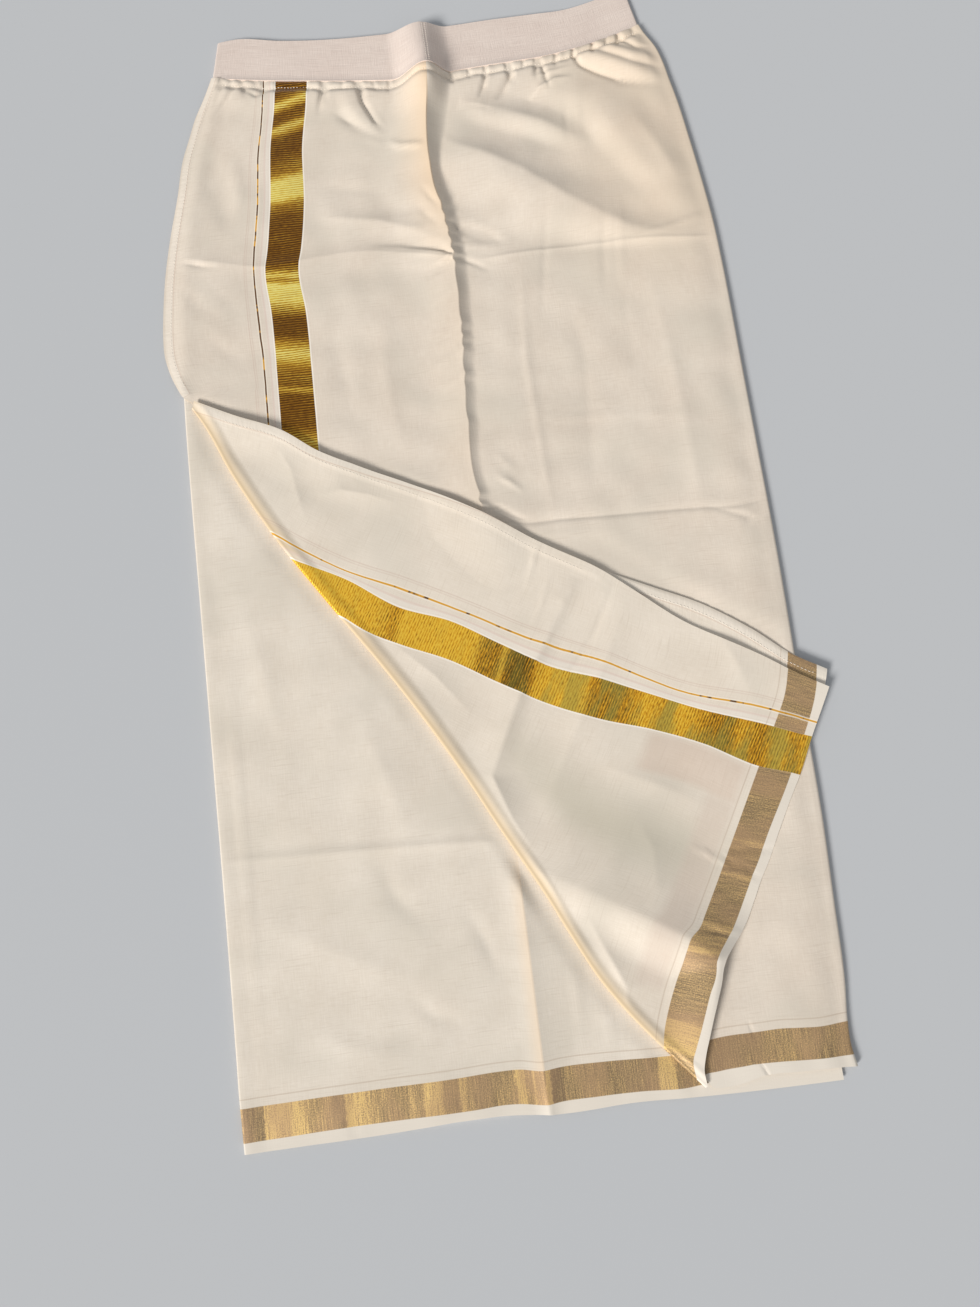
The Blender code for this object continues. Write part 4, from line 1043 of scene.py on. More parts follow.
def flap_cloth(place):
    """Place on the uncut cloth of each place on the turned corner."""
    run, drop = slanted(place)
    lines = (SLANTED_EDGE, SLANTED_THIN, SLANTED_STRIPE_TOP, SLANTED_STRIPE_LOW)
    tucked = TUCKED * ease(run, 0.0, TUCK_RUN) + TUCKED_MORE * ease(run, TUCK_RUN, EDGE_RUN)
    q = woven_distance(drop, [read(line, "drop", "run", run) for line in lines], (tucked, *STRIPE_LINES))
    lines = (SLANTED_HEM, SLANTED_BORDER_OUT, SLANTED_BORDER_IN)
    t = woven_distance(-run, [-read(line, "run", "drop", drop) for line in lines], BORDER_LINES)
    return q, t


def turned_flap(material):
    """The corner of the outer front that is turned back, with the roll of its crease."""
    near_tip = np.linspace(FLAP_START, FLAP_TIP, FLAP_TIP_ROWS)[:-1]
    share = np.concatenate([near_tip, np.linspace(FLAP_TIP, 1.0, FLAP_ROWS)])[:, None]
    step = 0.01
    way = unit(along(CREASE, np.minimum(1.0, share[:, 0] + step)) - along(CREASE, share[:, 0] - step))
    out = pair(way[:, 1], -way[:, 0])[:, None, :]
    roll = TIP_ROLL + (CREASE_ROLL - TIP_ROLL) * ease(share, FLAP_START, 0.08)
    crease = along(CREASE, share[:, 0])[:, None, :]
    centre = crease - out * roll[..., None]
    low = inner_top(centre[..., 0], centre[..., 1]) + LAYER_GAP
    angles = roll_angles(-90.0, 90.0)
    roll_place = centre + out * (roll * np.cos(angles))[..., None]
    roll_z = low + roll * (1 + np.sin(angles))
    tail_place = centre - out * ROLL_TAIL
    edge = along(FLAP_EDGE, share[:, 0])[:, None, :]
    length = np.hypot(*np.moveaxis(edge - centre, -1, 0))
    from_edge = np.array(EDGE_COLUMNS)[::-1] * np.minimum(1.0, length / 60.0)
    bare = (length - from_edge[:, :1]) * np.linspace(0.0, 1.0, FLAP_COLUMNS)[1:] ** 1.1
    across = np.concatenate([bare, (length - from_edge)[:, 1:]], axis=1) / length
    place = flap_place(np.broadcast_to(share, across.shape), across)
    place = place + (1 - across)[..., None] * (centre - crease)
    from_roll = across * length
    crown = (2 * roll - 2 * WALL - LAYER_GAP) * (1 - ease(from_roll, 0.0, ROLL_RISE))
    settle = ease(from_roll, 0.0, 10.0)
    z = settle * (flap_top(place[..., 0], place[..., 1]) + crown) + (1 - settle) * roll_z[:, -1:]
    place = np.concatenate([tail_place, roll_place, place], axis=1)
    x, y = place[..., 0], place[..., 1]
    z = np.concatenate([low, roll_z, z], axis=1)
    run = np.concatenate([np.zeros((len(share), len(angles) + 1)), from_roll], axis=1)
    # Painted light through the cloth near the crease, less painted shade where the corner stands clear.
    near = np.clip(1 - run / FLAP_GLOW_WIDE, 0, 1) ** 1.1
    glow = FLAP_GLOW * (near - raised(FLAP_HOLLOW_SHADE, x, y))
    piece = add_sheet("turned_flap_cloth", grid_rows(x, y, z, *flap_cloth(place), glow), material)
    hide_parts("turned_flap")


def margin_top(x, y):
    """Upper face of the corner's margin, tucked between the corner and the outer front."""
    return front_under(x, y) + MARGIN_GAP + WALL


def flap_margin(material):
    """The hemmed margin of the turned corner, tucked under its upper edge."""
    share = np.linspace(0.0, 1.0, MARGIN_COLUMNS)
    upper = along(MARGIN_EDGE, share)
    tuck = MARGIN_TUCK_START + MARGIN_TUCK_MORE * ease(share, 0.0, 0.7)
    lower = inside_edge(MARGIN_START + (1 - MARGIN_START) * share, tuck[:, None])
    down = np.linspace(0.0, 1.0, MARGIN_ROWS)[:, None]
    place = (1 - down)[..., None] * upper + down[..., None] * lower
    x, y = place[..., 0], place[..., 1]
    from_edge = np.hypot(*(upper - lower).T) * down
    z = margin_top(x, y) + hem_step(from_edge) * np.clip(from_edge, 0, 1)
    run, _ = slanted(place)
    end_run, _ = slanted(upper[-1])
    t = end_run - 1.5 - run + 0.35 * from_edge
    piece = add_sheet("margin_cloth", grid_rows(x, y, z, from_edge, t), material)
    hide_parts("flap_margin")


def band_y(x, height):
    """Place along the garment of a point at this share of the band's height."""
    seam = seam_y(x)
    return seam + height * (read(BAND_TOP, "y", "x", x) - seam)


def band_front(x, y):
    """Front face of the band, whose lower edge stands a little off the gathered cloth."""
    up = np.clip((y - seam_y(x)) / BAND_STANDS_OFF, 0.0, 1.0)
    joining = -0.5 * np.exp(-((x / 1.1) ** 2))
    level = 2 * BAND_ROLL + raised(CENTRE_RIDGE, x, y) + (1 - up) ** 2
    return level + ripples(BAND_RIPPLES, x, y) + joining


def waistband(material):
    """The band: a flat ring of knitted elastic, whose front follows the centre fold."""
    heights = np.linspace(1.0, 0.0, BAND_ROWS)[:, None]
    half = BAND_END + (BAND_TOP_END - BAND_END) * heights - BAND_ROLL
    under = half * np.linspace(1.0, -1.0, BAND_BACK_COLUMNS)
    over = half * np.linspace(-1.0, 1.0, BAND_FRONT_COLUMNS)
    left_x, left_z = rolled(-half, BAND_ROLL, roll_angles(-90.0, -270.0)[1:-1])
    right_x, right_z = rolled(half, BAND_ROLL, roll_angles(90.0, -90.0)[1:-1])
    edge = ease(half - np.abs(over), 0.0, 12.0)
    over_z = 2 * BAND_ROLL + edge * (band_front(over, band_y(over, heights)) - 2 * BAND_ROLL)
    x = np.concatenate([under, left_x, over, right_x], axis=1)
    z = np.concatenate([np.zeros_like(under), left_z, over_z, right_z], axis=1)
    run = np.concatenate([[0.0], np.cumsum(np.abs(np.diff(x[-1])))])
    q = np.broadcast_to(run, x.shape)
    t = np.broadcast_to(heights * BAND_HEIGHT, x.shape)
    rows = grid_rows(x, band_y(x, heights), z, q, t)
    piece = add_sheet("waistband_knit", rows, material, wall=KNIT, ring=True)
    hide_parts("waistband")


# Threads are drawn with four sides and three sections. A line of them wanders a little to its sides.
STITCH_WIDE = 0.55
STITCH_HIGH = 0.3
STITCH_SECTIONS = (0.2, 0.5, 0.8)
SECTION_SIDES = 4
STITCHED_INSIDE = 1.4  # how far inside the hem's inner edge its stitches run
BAND_SEAM_HALF = 1.3
Stitching = namedtuple("Stitching", "pitch length wander seed")


def add_stitches(name, starts, ends, material, slot):
    """Short threads from start to end, each lying on the cloth with its ends pulled in."""
    points, faces = [], []
    up = np.array([0.0, 0.0, STITCH_HIGH])
    for start, end in zip(starts, ends):
        way = end - start
        side = np.array([-way[1], way[0], 0.0])
        side = side / np.hypot(*side[:2]) * STITCH_WIDE / 2
        section = (-side - up / 2, up * 0.7 - side * 0.7, up * 0.7 + side * 0.7, side - up / 2)
        first = len(points)
        points.append(start - up / 2)
        for share in STITCH_SECTIONS:
            points += [start + way * share + off for off in section]
        last = len(points)
        points.append(end - up / 2)
        for i in range(SECTION_SIDES):
            j = (i + 1) % SECTION_SIDES
            faces.append((first, first + 1 + j, first + 1 + i))
            for ring in range(first + 1, last - SECTION_SIDES, SECTION_SIDES):
                faces.append((ring + i, ring + j, ring + SECTION_SIDES + j, ring + SECTION_SIDES + i))
            faces.append((last - SECTION_SIDES + i, last - SECTION_SIDES + j, last))
    piece = add_mesh(name, points, faces, material)


def sew(name, line, face, kind, material, slot, rise=0.0):
    """Stitches along a line of places on a face, slightly uneven as guided by hand."""
    rng = np.random.default_rng(kind.seed)
    steps = np.hypot(*np.diff(line, axis=0).T)
    run = np.concatenate([[0.0], np.cumsum(steps)])
    at = np.arange(kind.pitch, run[-1] - kind.pitch, kind.pitch)
    ends = []
    for place in (at, at + kind.length):
        place = place + rng.uniform(-0.25, 0.25, len(at))
        x = np.interp(place, run, line[:, 0])
        y = np.interp(place, run, line[:, 1]) + rng.uniform(-kind.wander, kind.wander, len(at))
        ends.append(np.stack([x, y, face(x, y) + rise], axis=-1))
    add_stitches(name, *ends, material, slot)


def sewing(material):
    """The stitching that shows: side hem, turned hem, gathering and the band's joining seam."""
    y = np.linspace(446.0, 136.0, 160)
    line = pair(outer_left(y) + SIDE_HEM - 1.6, y)
    sew("side_hem_stitches", line, outer_top, Stitching(3.3, 2.0, 0.15, 1), material, "cotton")

    line = inside_edge(np.linspace(0.07, 0.63, 200), SIDE_HEM - STITCHED_INSIDE)
    sew("turned_hem_stitches", line, flap_top, Stitching(3.3, 2.0, 0.15, 2), material, "wrong_side")

    edge = along(MARGIN_EDGE, np.linspace(0.16, 0.97, 160))
    way = unit(np.gradient(edge, axis=0))
    line = edge + pair(way[:, 1], -way[:, 0]) * (SIDE_HEM - STITCHED_INSIDE)
    kind = Stitching(3.3, 2.2, 0.5, 3)
    sew("margin_hem_stitches", line, margin_top, kind, material, "wrong_side", HEM_RISE)

    x = np.linspace(-203.0, 208.0, 400)
    line = pair(x, seam_y(x) - heading_at(x) + 0.6)
    sew("gathering_stitches", line, outer_top, Stitching(3.0, 2.1, 0.25, 4), material, "cotton")

    height = np.linspace(0.05, 0.93, 17)
    x = np.repeat([-BAND_SEAM_HALF, BAND_SEAM_HALF], len(height))
    ends = []
    for share in (height, height + 0.035):
        y = band_y(x, np.tile(share, 2))
        ends.append(np.stack([x, y, band_front(x, y)], axis=-1))
    add_stitches("band_seam_stitches", *ends, material, "knit")


def linear(code):
    """Linear colour from an sRGB hex value."""
    parts = [int(code[i : i + 2], 16) / 255 for i in (1, 3, 5)]
    return tuple(c / 12.92 if c <= 0.04045 else ((c + 0.055) / 1.055) ** 2.4 for c in parts) + (1.0,)


def add(tree, kind, inputs=(), out=0, stops=(), **settings):
    """Adds a shader node with its settings, ramp stops and inputs, and gives one output.

    Inputs are in the order of the sockets, or named. Each is a link, a value, or a colour as sRGB hex.
    """
    made = tree.nodes.new("ShaderNode" + kind)
    for name, value in settings.items():
        setattr(made, name, value)
    for i, (place, colour) in enumerate(stops):
        elements = made.color_ramp.elements
        stop = elements[i] if i < 2 else elements.new(place)
        stop.position = place
        stop.color = colour
    if not isinstance(inputs, dict):
        inputs = dict(enumerate(inputs))
    for place, value in inputs.items():
        if isinstance(value, bpy.types.NodeSocket):
            tree.links.new(value, made.inputs[place])
        else:
            made.inputs[place].default_value = linear(value) if isinstance(value, str) else value
    return made.outputs[out]


def new_material(name, roughness, sheen=0.0):
    """A material with its shader, and the tree that its pattern goes into."""
    material = bpy.data.materials.new(name)
    material.use_nodes = True
    shader = material.node_tree.nodes["Principled BSDF"]
    shader.inputs["Roughness"].default_value = roughness
    shader.inputs["Sheen Weight"].default_value = sheen
    return material, material.node_tree, shader


def strip(tree, distance, low, high, blur, share=1.0):
    """Mask of a strip between two distances in millimetres, with edges blurred by this much."""
    rise = add(tree, "MapRange", {0: distance, 1: low - blur, 2: low + blur, 4: share})
    fall = add(tree, "MapRange", [distance, high - blur, high + blur, 1.0, 0.0])
    return add(tree, "Math", [rise, fall], operation="MULTIPLY")


def cloth_place(tree):
    """Place on the uncut cloth, in millimetres."""
    uv = add(tree, "UVMap", uv_map="cloth")
    return add(tree, "VectorMath", {0: uv, "Scale": 1 / MM}, operation="SCALE")


def streaks(tree, place, q_size, t_size, detail=2.0):
    """Noise drawn out into streaks, of this size in millimetres each way on the cloth."""
    share = (1 / q_size, 1 / t_size, 1.0)
    sized = add(tree, "VectorMath", [place, share], operation="MULTIPLY")
    return add(tree, "TexNoise", {"Vector": sized, "Scale": 1.0, "Detail": detail}, noise_dimensions="2D")


# Tone of gold thread at a distance on the cloth: 0 where it mirrors the dark, 1 where it mirrors a light.
Tone = namedtuple("Tone", "at level")
FRONT_GOLD = named(
    Tone, (563, 0.2), (577, 0.66), (588, 0.35), (595, 0.18), (623, 0.16), (628.5, 0.6), (633, 0.25),
    (648, 0.36), (664, 0.86), (674, 0.5), (683, 0.14), (700, 0.16), (717, 0.86), (733, 1), (738, 0.45),
    (743.5, 0.85), (749.5, 0.3), (757, 0.13), (803, 0.16), (817, 0.46), (823.5, 0.92), (841, 0.95),
    (850, 0.42), (872, 0.16), (887, 0.16), (899, 0.8), (906, 0.25), (915, 0.2), (925, 0.85), (932, 0.3),
    (938, 0.15),
)
FLAP_GOLD = named(
    Tone, (0, 0.75), (12, 0.5), (22, 0.8), (40, 0.45), (58, 0.7), (66, 0.4), (84, 0.45), (97, 0.72),
    (110, 0.85), (125, 0.68), (140, 0.84), (152, 0.58), (165, 0.45), (186, 0.5), (192, 0.84), (215, 0.9),
    (235, 0.8), (240, 0.35), (248, 0.08), (256, 0.12), (262, 0.3), (266, 0.9), (270, 0.4), (285, 0.45),
    (292, 0.86), (320, 0.92), (350, 0.88), (358, 1), (364, 0.55), (380, 0.84), (430, 0.94), (468, 1),
)
OUTER_TISSUE = named(
    Tone, (380, 0.15), (400, 0.2), (430, 0.3), (441, 0.42), (470, 0.45), (482, 0.3), (510, 0.4),
)
INNER_TISSUE = named(
    Tone, (1146, 0.95), (1150, 0.9), (1151, 0.22), (1167, 0.22), (1168, 0.86), (1197, 0.88), (1204, 0.5),
    (1218, 0.6), (1223, 0.3), (1231, 0.22), (1232, 0.95), (1247, 0.8), (1258, 0.5), (1281, 0.4),
    (1284, 0.8), (1288, 0.42), (1293.5, 0.5), (1294.5, 0.92), (1306, 0.8), (1311, 0.45), (1321, 0.36),
    (1323, 0.9), (1329, 0.45), (1342, 0.32), (1356, 0.42), (1366.5, 0.5), (1368, 0.95), (1374, 0.9),
    (1375.5, 0.5), (1380, 0.48), (1381.5, 0.9), (1383, 0.5), (1390, 0.48), (1391, 0.95), (1394, 0.9),
    (1395, 0.08), (1403, 0.12), (1406, 0.4), (1436, 0.42), (1441, 0.3), (1468, 0.3), (1479, 0.4),
    (1481, 0.9), (1493, 0.9), (1495, 0.34), (1520, 0.28),
)
FLAP_TISSUE = named(
    Tone, (0, 0.3), (53, 0.35), (78, 0.3), (90, 0.5), (100, 0.35), (131, 0.3), (150, 0.45), (165, 0.3),
    (192, 0.32), (196, 0.75), (200, 0.35), (219, 0.35), (221, 0.05), (223, 0.2), (225, 0.8), (229, 0.35),
    (250, 0.3), (266, 0.4), (268, 0.75), (274, 0.6), (276, 0.1), (278, 0.6), (284, 0.6), (288, 0.65),
    (290, 1), (293, 0.9), (294, 0.22), (300, 0.28), (348, 0.34), (351, 0.95), (372, 0.95), (376, 0.38),
    (420, 0.3),
)
RAMP_ROWS = 30  # a colour ramp has room for 32 stops, so a longer table takes more than one


def tone_at(tree, distance, tones):
    """Tone at a distance, through the rows of a table of tones."""
    tone = None
    for first in range(0, len(tones) - 1, RAMP_ROWS):
        rows = tones[first : first + RAMP_ROWS + 1]
        start, end = rows[0].at, rows[-1].at
        share = add(tree, "MapRange", [distance, start, end])
        stops = [((row.at - start) / (end - start), (row.level,) * 3 + (1.0,)) for row in rows]
        here = add(tree, "ValToRGB", [share], stops=stops)
        if tone is None:
            tone = here
        else:
            is_past = add(tree, "Math", [distance, start], operation="GREATER_THAN")
            tone = add(tree, "Mix", {0: is_past, 6: tone, 7: here}, out=2, data_type="RGBA")
    return tone


def spread(codes):
    """Ramp stops that spread colours evenly."""
    return [(i / (len(codes) - 1), linear(code)) for i, code in enumerate(codes)]


RIB = 2.3  # one rib of the gold stripe, every few metal threads
LINE_AT = THIN_LINE + 0.4
STRIPE_MIDDLE = (STRIPE_START + STRIPE_END) / 2
COTTON_ROUGH = 0.85
# Light and shade of each cloth, and gold and tissue from their dark to their light.
# The three cloths are one cotton; the inner front and the wrong side are painted a little lighter, standing
# in for the stronger light on them.
OUTER_CLOTH = ("#ece0d1", "#dbcdbd")
INNER_CLOTH = ("#f0e6d8", "#e1d5c5")
WRONG_CLOTH = ("#f0e5d6", "#e2d5c4")
GOLD_CODES = ("#653c05", "#8a590a", "#b07a18", "#dba932", "#f7d656", "#fff08c")
WRONG_GOLD_CODES = ("#66470d", "#a0741a", "#d4961f", "#f3b323", "#ffcf40")
TISSUE_CODES = ("#80694a", "#a98e62", "#cba772", "#f4cf84")


def cotton(name, cloth, gold_codes, gold_tones, tissue_tones, green=0.0, show_through_shade=0.0):
    """Plain-woven cotton with its borders woven in: a gold-thread stripe and a tissue hem.

    Fine cotton scatters light evenly, with slight slubs and a faint nap. Gold threads lie across the
    stripe, so they mirror what is about them in bands. The hem's tissue mixes gold and cotton threads,
    so it looks tan, and glitters where it faces a light.
    """
    material, tree, shader = new_material(name, COTTON_ROUGH, 0.12)
    place = cloth_place(tree)
    q = add(tree, "SeparateXYZ", [place])
    t = q.node.outputs[1]

    # The weave of about 25 threads a centimetre is too fine to show, so it is drawn 1.1 mm apart.
    weft = streaks(tree, place, 9.0, 1.1)
    warp = streaks(tree, place, 1.1, 14.0)
    slub = add(tree, "MapRange", [streaks(tree, place, 34.0, 1.3, 1.0), 0.62, 0.78])
    cloud = streaks(tree, place, 46.0, 60.0, 3.0)
    patch = streaks(tree, place, 90.0, 70.0, 3.0)
    weave = add(tree, "Math", [weft, warp], operation="ADD")
    uneven = add(tree, "Math", [weave, 0.6, -0.75], operation="MULTIPLY_ADD")
    uneven = add(tree, "Math", [cloud, 1.1, uneven], operation="MULTIPLY_ADD", use_clamp=True)
    grey = add(tree, "MapRange", {0: patch, 1: 0.45, 2: 0.7, 4: 0.5})
    slub_share = add(tree, "Math", [slub, 0.2], operation="MULTIPLY")
    # The glow attribute paints light that comes through lifted cloth in a warm colour; below 0 it paints
    # shade, a greyer colour, where the turned corner stands clear.
    glow = add(tree, "Attribute", attribute_name="glow", out=2)
    hollow_shade = add(tree, "MapRange", [glow, 0.0, -1.0])
    colour, shade = cloth
    lit = "#dbc29b" if green else "#ebd0b0"
    layers = [(uneven, shade), (grey, "#dbd2c3"), (slub_share, "#cdbfae"), (glow, lit), (hollow_shade, "#c2bcaa")]

    # Whiter cotton edges the stripe and the hem, with faint pink and grey threads outside it.
    marks = (
        (q, 2.0, SIDE_HEM - 0.6, 0.5, 0.25, "#f7f0e6"),
        (q, SIDE_HEM - 0.2, SIDE_HEM + 0.5, 0.3, 0.45, "#c9ad9c"),
        (q, THIN_LINE - 9.8, THIN_LINE - 9.0, 0.3, 0.4, "#cdb3a4"),
        (q, THIN_LINE - 8.0, THIN_LINE - 7.2, 0.3, 0.3, "#cdb3a4"),
        (q, STRIPE_START - 6.5, STRIPE_START - 1.5, 0.8, 0.35, "#f6efe6"),
        (q, STRIPE_START - 6.4, STRIPE_START - 4.8, 0.6, 0.4, "#d9b9ab"),
        (q, STRIPE_START - 1.2, STRIPE_END + 1.2, 0.3, 1.0, "#faf3e8"),
        (t, -40.0, SELVEDGE + 0.3, 0.3, 1.0, "#eae1d4"),
        (t, BORDER_END + 6.2, BORDER_END + 7.2, 0.3, 0.4, "#b9a48e"),
    )
    layers += [(strip(tree, *mark), code) for *mark, code in marks]
    # Beside its borders the corner is painted darker and pinker: painted shade where it stands off what is
    # under it, and the turn of the cloth under it showing through.
    show_through_and_shade = (
        ((STRIPE_END + 3.0, STRIPE_END + 36.0, 3.0), (BORDER_END + 9.0, 128.0, 5.0), "#d2b5a2"),
        ((STRIPE_END + 36.0, 330.0, 5.0), (BORDER_END + 8.0, BORDER_END + 32.0, 4.0), "#d6c1b2"),
    )
    for across, up, code in show_through_and_shade:
        masks = [strip(tree, q, *across, show_through_shade), strip(tree, t, *up)]
        layers.append((add(tree, "Math", masks, operation="MULTIPLY"), code))

    # Tissue hem: threads run up from the edge, with painted glitter where a thread turns to the light.
    wobble = streaks(tree, place, 6.0, 4.0, 3.0)
    shifted_q = add(tree, "Math", [wobble, 3.0, q], operation="MULTIPLY_ADD")
    shifted_q = add(tree, "Math", [shifted_q, 1.5], operation="SUBTRACT")
    tissue_tone = tone_at(tree, shifted_q, tissue_tones)
    threads = streaks(tree, place, 0.8, 22.0, 3.0)
    threads_and_glitter = streaks(tree, place, 0.9, 1.1, 1.0)
    threads_and_glitter = add(tree, "Math", [threads_and_glitter, threads], operation="ADD")
    threads_and_glitter = add(tree, "Math", [threads_and_glitter, 1.3, -1.3], operation="MULTIPLY_ADD")
    tissue_tone = add(tree, "Math", [tissue_tone, threads_and_glitter], operation="ADD", use_clamp=True)
    tissue = add(tree, "ValToRGB", [tissue_tone], stops=spread(TISSUE_CODES))
    pinkish = add(tree, "MapRange", {0: streaks(tree, place, 28.0, 80.0), 1: 0.4, 2: 0.65, 4: 0.5})
    tissue = add(tree, "Mix", {0: pinkish, 6: tissue, 7: "#b8936f"}, out=2, data_type="RGBA")
    stripe = strip(tree, q, STRIPE_START, STRIPE_END, 0.2)
    border = strip(tree, t, SELVEDGE, BORDER_END, 0.25, 0.96)
    beside_stripe = add(tree, "Math", [1.0, stripe], operation="SUBTRACT")
    border = add(tree, "Math", [border, beside_stripe], operation="MULTIPLY")

    # The thin gold line wavers, and its colour is a painted reflection: gold where its turning thread
    # catches the light, dark brown where it doesn't.
    waver = streaks(tree, place, 90.0, 26.0)
    line_q = add(tree, "Math", [waver, 0.8, q], operation="MULTIPLY_ADD")
    halo = strip(tree, line_q, LINE_AT - 1.6, LINE_AT + 1.6, 0.4, 0.9)
    line = strip(tree, line_q, LINE_AT - 0.75, LINE_AT + 0.75, 0.2)
    glint_lost = add(tree, "MapRange", [t, 520.0, 640.0, -0.1, 0.15])
    turn = streaks(tree, place, 60.0, 11.0, 3.0)
    turn = add(tree, "Math", [turn, glint_lost], operation="SUBTRACT")
    turn = add(tree, "MapRange", [turn, 0.38, 0.48])
    thread = add(tree, "Mix", {0: turn, 6: "#5f3a0c", 7: "#dda22f"}, out=2, data_type="RGBA")

    # Gold stripe: painted reflections in bands of light and dark, with painted lustre, and ribs that show
    # most where the two meet.
    wander = streaks(tree, place, 15.0, 3.0, 3.0)
    tilt = add(tree, "MapRange", [t, 720.0, 900.0, 0.14, -0.3])
    off_middle = add(tree, "Math", [q, STRIPE_MIDDLE], operation="SUBTRACT")
    gold_t = add(tree, "Math", [off_middle, tilt, t], operation="MULTIPLY_ADD")
    gold_t = add(tree, "Math", [wander, 5.0, gold_t], operation="MULTIPLY_ADD")
    gold_t = add(tree, "Math", [gold_t, 2.5], operation="SUBTRACT")
    tone = tone_at(tree, gold_t, gold_tones)
    rib_t = streaks(tree, place, 40.0, 12.0)
    rib_t = add(tree, "Math", [rib_t, 2.0, t], operation="MULTIPLY_ADD")
    rib = add(tree, "Math", [rib_t, 2 * math.pi / RIB], operation="MULTIPLY")
    rib = add(tree, "Math", [rib], operation="SINE")
    rib = add(tree, "Math", [rib, streaks(tree, place, 30.0, 14.0)], operation="MULTIPLY")
    tone = add(tree, "Math", [rib, 0.46, tone], operation="MULTIPLY_ADD")
    gain = 0.5 + 1.5 * green
    lustre = streaks(tree, place, 4.0, 0.9)
    lustre = add(tree, "Math", [lustre, gain, -gain / 2], operation="MULTIPLY_ADD")
    tone = add(tree, "Math", [tone, lustre], operation="ADD", use_clamp=True)
    gold = add(tree, "ValToRGB", [tone], stops=spread(gold_codes))
    greenish = streaks(tree, place, 60.0, 16.0, 3.0)
    greenish = add(tree, "MapRange", {0: greenish, 1: 0.42, 2: 0.6, 4: green})
    near_hem = add(tree, "MapRange", [t, 190.0, 330.0, 1.0, 0.15])
    greenish = add(tree, "Math", [greenish, near_hem], operation="MULTIPLY")
    gold = add(tree, "Mix", {0: greenish, 6: gold, 7: "#a8a04a"}, out=2, data_type="RGBA")

    layers += [(border, tissue), (halo, "#f7eede"), (line, thread), (stripe, gold)]
    for mask, over in layers:
        colour = add(tree, "Mix", {0: mask, 6: colour, 7: over}, out=2, data_type="RGBA")
    tree.links.new(colour, shader.inputs["Base Color"])

    # Dark bands are mostly mirror. In the light ones the many threads scatter what they mirror.
    mirror = add(tree, "MapRange", {0: tone, 3: 0.75, 4: 0.3})
    mirror = add(tree, "Math", [mirror, stripe], operation="MULTIPLY")
    metal = add(tree, "Math", [border, 0.3, mirror], operation="MULTIPLY_ADD")
    tree.links.new(metal, shader.inputs["Metallic"])
    rough = add(tree, "Math", [stripe, -0.47, COTTON_ROUGH], operation="MULTIPLY_ADD")
    rough = add(tree, "Math", [border, -0.35, rough], operation="MULTIPLY_ADD")
    tree.links.new(rough, shader.inputs["Roughness"])

    # The sewn side hem puckers between its stitches. Ribs, slubs and the weave stand up a little.
    pucker = streaks(tree, place, 9.0, 2.6)
    at_hem = strip(tree, q, 1.0, SIDE_HEM + 4.0, 2.5, 1.8)
    height = add(tree, "Math", [pucker, at_hem], operation="MULTIPLY")
    ribs = add(tree, "Math", [stripe, rib], operation="MULTIPLY")
    for relief, share in ((ribs, 0.8), (slub, 0.15), (weave, 0.35)):
        height = add(tree, "Math", [relief, share, height], operation="MULTIPLY_ADD")
    bump = add(tree, "Bump", {"Strength": 0.45, "Distance": 0.0003, "Height": height})
    tree.links.new(bump, shader.inputs["Normal"])
    return material


def knitted_elastic():
    """Knitted elastic: covered rubber threads in fine rows, with a soft matt face."""
    material, tree, shader = new_material("knitted elastic", 0.9, 0.2)
    place = cloth_place(tree)
    courses = streaks(tree, place, 22.0, 0.8)
    ribs = streaks(tree, place, 0.7, 14.0)
    cloud = streaks(tree, place, 50.0, 18.0, 3.0)
    both = add(tree, "Math", [courses, ribs], operation="ADD")
    tone = add(tree, "Math", [both, 0.8, -0.5], operation="MULTIPLY_ADD")
    tone = add(tree, "Math", [cloud, 0.6, tone], operation="MULTIPLY_ADD", use_clamp=True)
    colour = add(tree, "Mix", {0: tone, 6: "#efe1d7", 7: "#dccbc1"}, out=2, data_type="RGBA")
    tree.links.new(colour, shader.inputs["Base Color"])
    bump = add(tree, "Bump", {"Strength": 0.5, "Distance": 0.0004, "Height": both})
    tree.links.new(bump, shader.inputs["Normal"])
    return material


def sewing_thread():
    """Spun cotton sewing thread, a little whiter than the cloth."""
    material, tree, shader = new_material("spun cotton sewing thread", 0.8, 0.2)
    place = add(tree, "TexCoord", out=3)
    twist = add(tree, "TexNoise", {"Vector": place, "Scale": 900.0})
    colour = add(tree, "Mix", {0: twist, 6: "#f9f2e8", 7: "#e5d9ca"}, out=2, data_type="RGBA")
    tree.links.new(colour, shader.inputs["Base Color"])
    return material


def floor_finish():
    """Matt painted board, which takes soft shadows."""
    material, _, shader = new_material("matt pale board", 0.9)
    shader.inputs["Base Color"].default_value = linear("#c4c7cb")
    return material


FLOOR_HALF = 4.0
FLOOR_DROP = -0.0003


def add_floor():
    """The floor that the garment lies on, a little lower so that their faces don't meet."""
    side = FLOOR_HALF
    mesh = bpy.data.meshes.new("floor")
    corners = [(-side, -side, 0), (side, -side, 0), (side, side, 0), (-side, side, 0)]
    mesh.from_pydata(corners, [], [(0, 1, 2, 3)])
    mesh.materials.append(floor_finish())
    floor = bpy.data.objects.new("floor", mesh)
    floor.location.z = FLOOR_DROP
    bpy.context.scene.collection.objects.link(floor)


SUN_AZIMUTH = 42.0  # how far the key light stands round from the left towards the hem
SUN_HEIGHT = 31.0
SUN_STRENGTH = 3.3
SUN_SPREAD = 18.0
SUN_COLOUR = (1.0, 0.965, 0.92)
FILL_COLOUR = (0.96, 0.98, 1.0, 1.0)
FILL_STRENGTH = 0.385


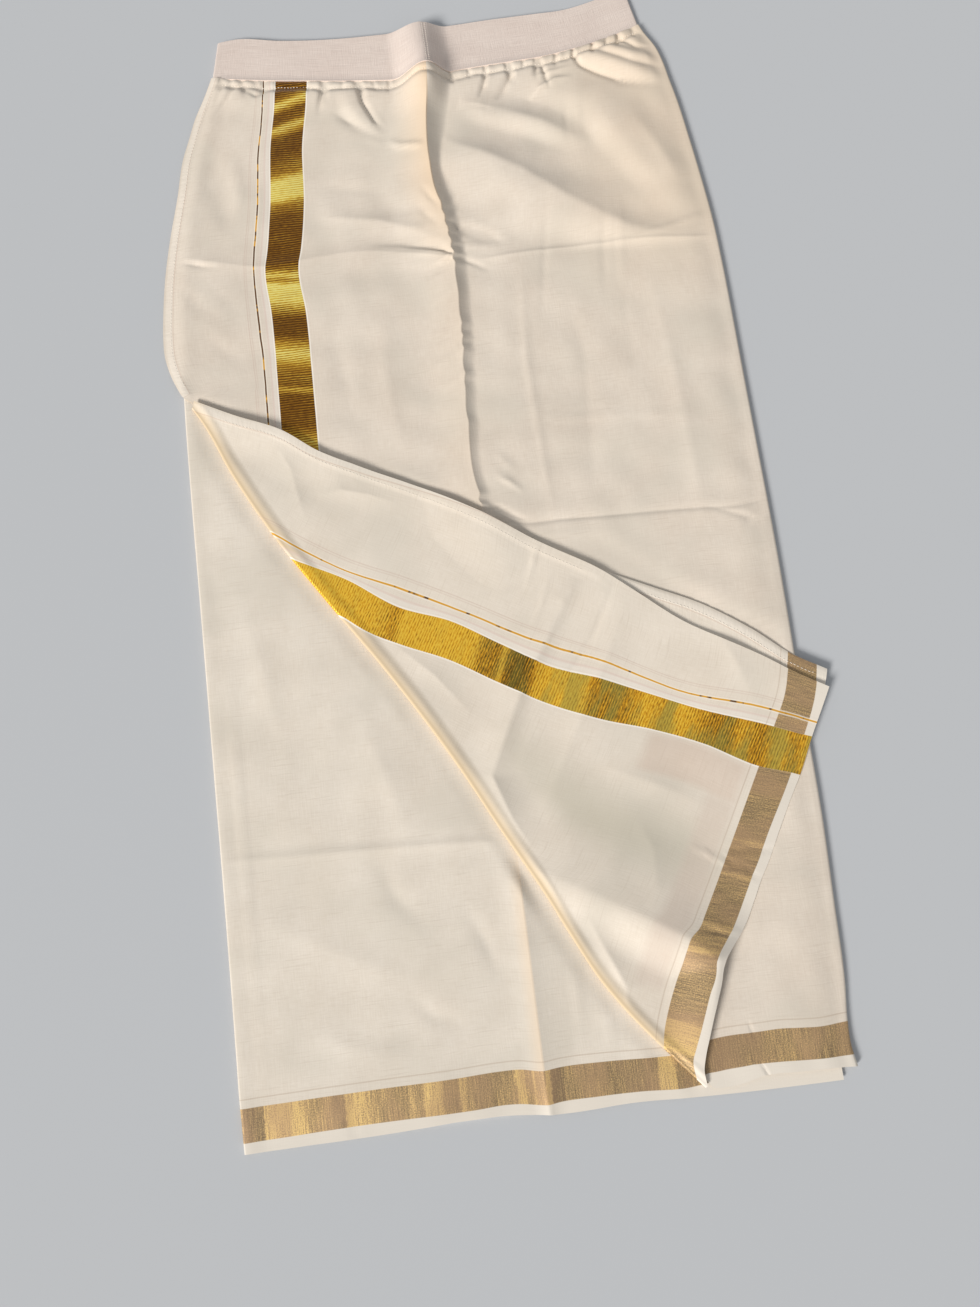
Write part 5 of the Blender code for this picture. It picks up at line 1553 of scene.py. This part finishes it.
def add_lights():
    """A soft key from the lower left, as the shadows show, over an even fill."""
    key = bpy.data.lights.new("key", "SUN")
    key.energy = SUN_STRENGTH
    key.angle = math.radians(SUN_SPREAD)
    key.color = SUN_COLOUR
    lamp = bpy.data.objects.new("key", key)
    lamp.rotation_euler = (math.radians(90.0 - SUN_HEIGHT), 0.0, math.radians(SUN_AZIMUTH - 90.0))
    bpy.context.scene.collection.objects.link(lamp)
    world = bpy.data.worlds.new("studio")
    world.use_nodes = True
    background = world.node_tree.nodes["Background"]
    background.inputs["Color"].default_value = FILL_COLOUR
    background.inputs["Strength"].default_value = FILL_STRENGTH
    bpy.context.scene.world = world


CAMERA_PLACE = (-0.03089, -0.29574, 0.83229)
CAMERA_TILT = 11.0  # from straight down, towards the waist
CAMERA_TURN = 7.0  # the garment leans this much in the frame
CAMERA_LENS = 27.13
CAMERA_SENSOR = 36.0


def add_camera():
    """The camera of the photo, fitted to its straight borders and even pack creases."""
    camera = bpy.data.objects.new("camera", bpy.data.cameras.new("camera"))
    camera.data.lens = CAMERA_LENS
    camera.data.sensor_width = CAMERA_SENSOR
    camera.data.clip_start = 0.01
    camera.location = CAMERA_PLACE
    camera.rotation_euler = (math.radians(CAMERA_TILT), 0.0, math.radians(-CAMERA_TURN))
    bpy.context.scene.collection.objects.link(camera)
    bpy.context.scene.camera = camera


def main():
    """Sets up the photo's view and light, and adds the pieces from the back layer up."""
    add_camera()
    add_floor()
    add_lights()
    bpy.context.scene.view_settings.view_transform = "Standard"
    woven = "plain-woven cotton, "
    back_panel(cotton(woven + "back", OUTER_CLOTH, GOLD_CODES, FRONT_GOLD, OUTER_TISSUE))
    inner_front(cotton(woven + "inner front", INNER_CLOTH, GOLD_CODES, FRONT_GOLD, INNER_TISSUE))
    outer_front(cotton(woven + "outer front", OUTER_CLOTH, GOLD_CODES, FRONT_GOLD, OUTER_TISSUE))
    wrong_side = cotton(
        woven + "wrong side", WRONG_CLOTH, WRONG_GOLD_CODES, FLAP_GOLD, FLAP_TISSUE, green=0.6, show_through_shade=0.34
    )
    turned_flap(wrong_side)
    flap_margin(wrong_side)
    waistband(knitted_elastic())
    sewing(sewing_thread())


main()
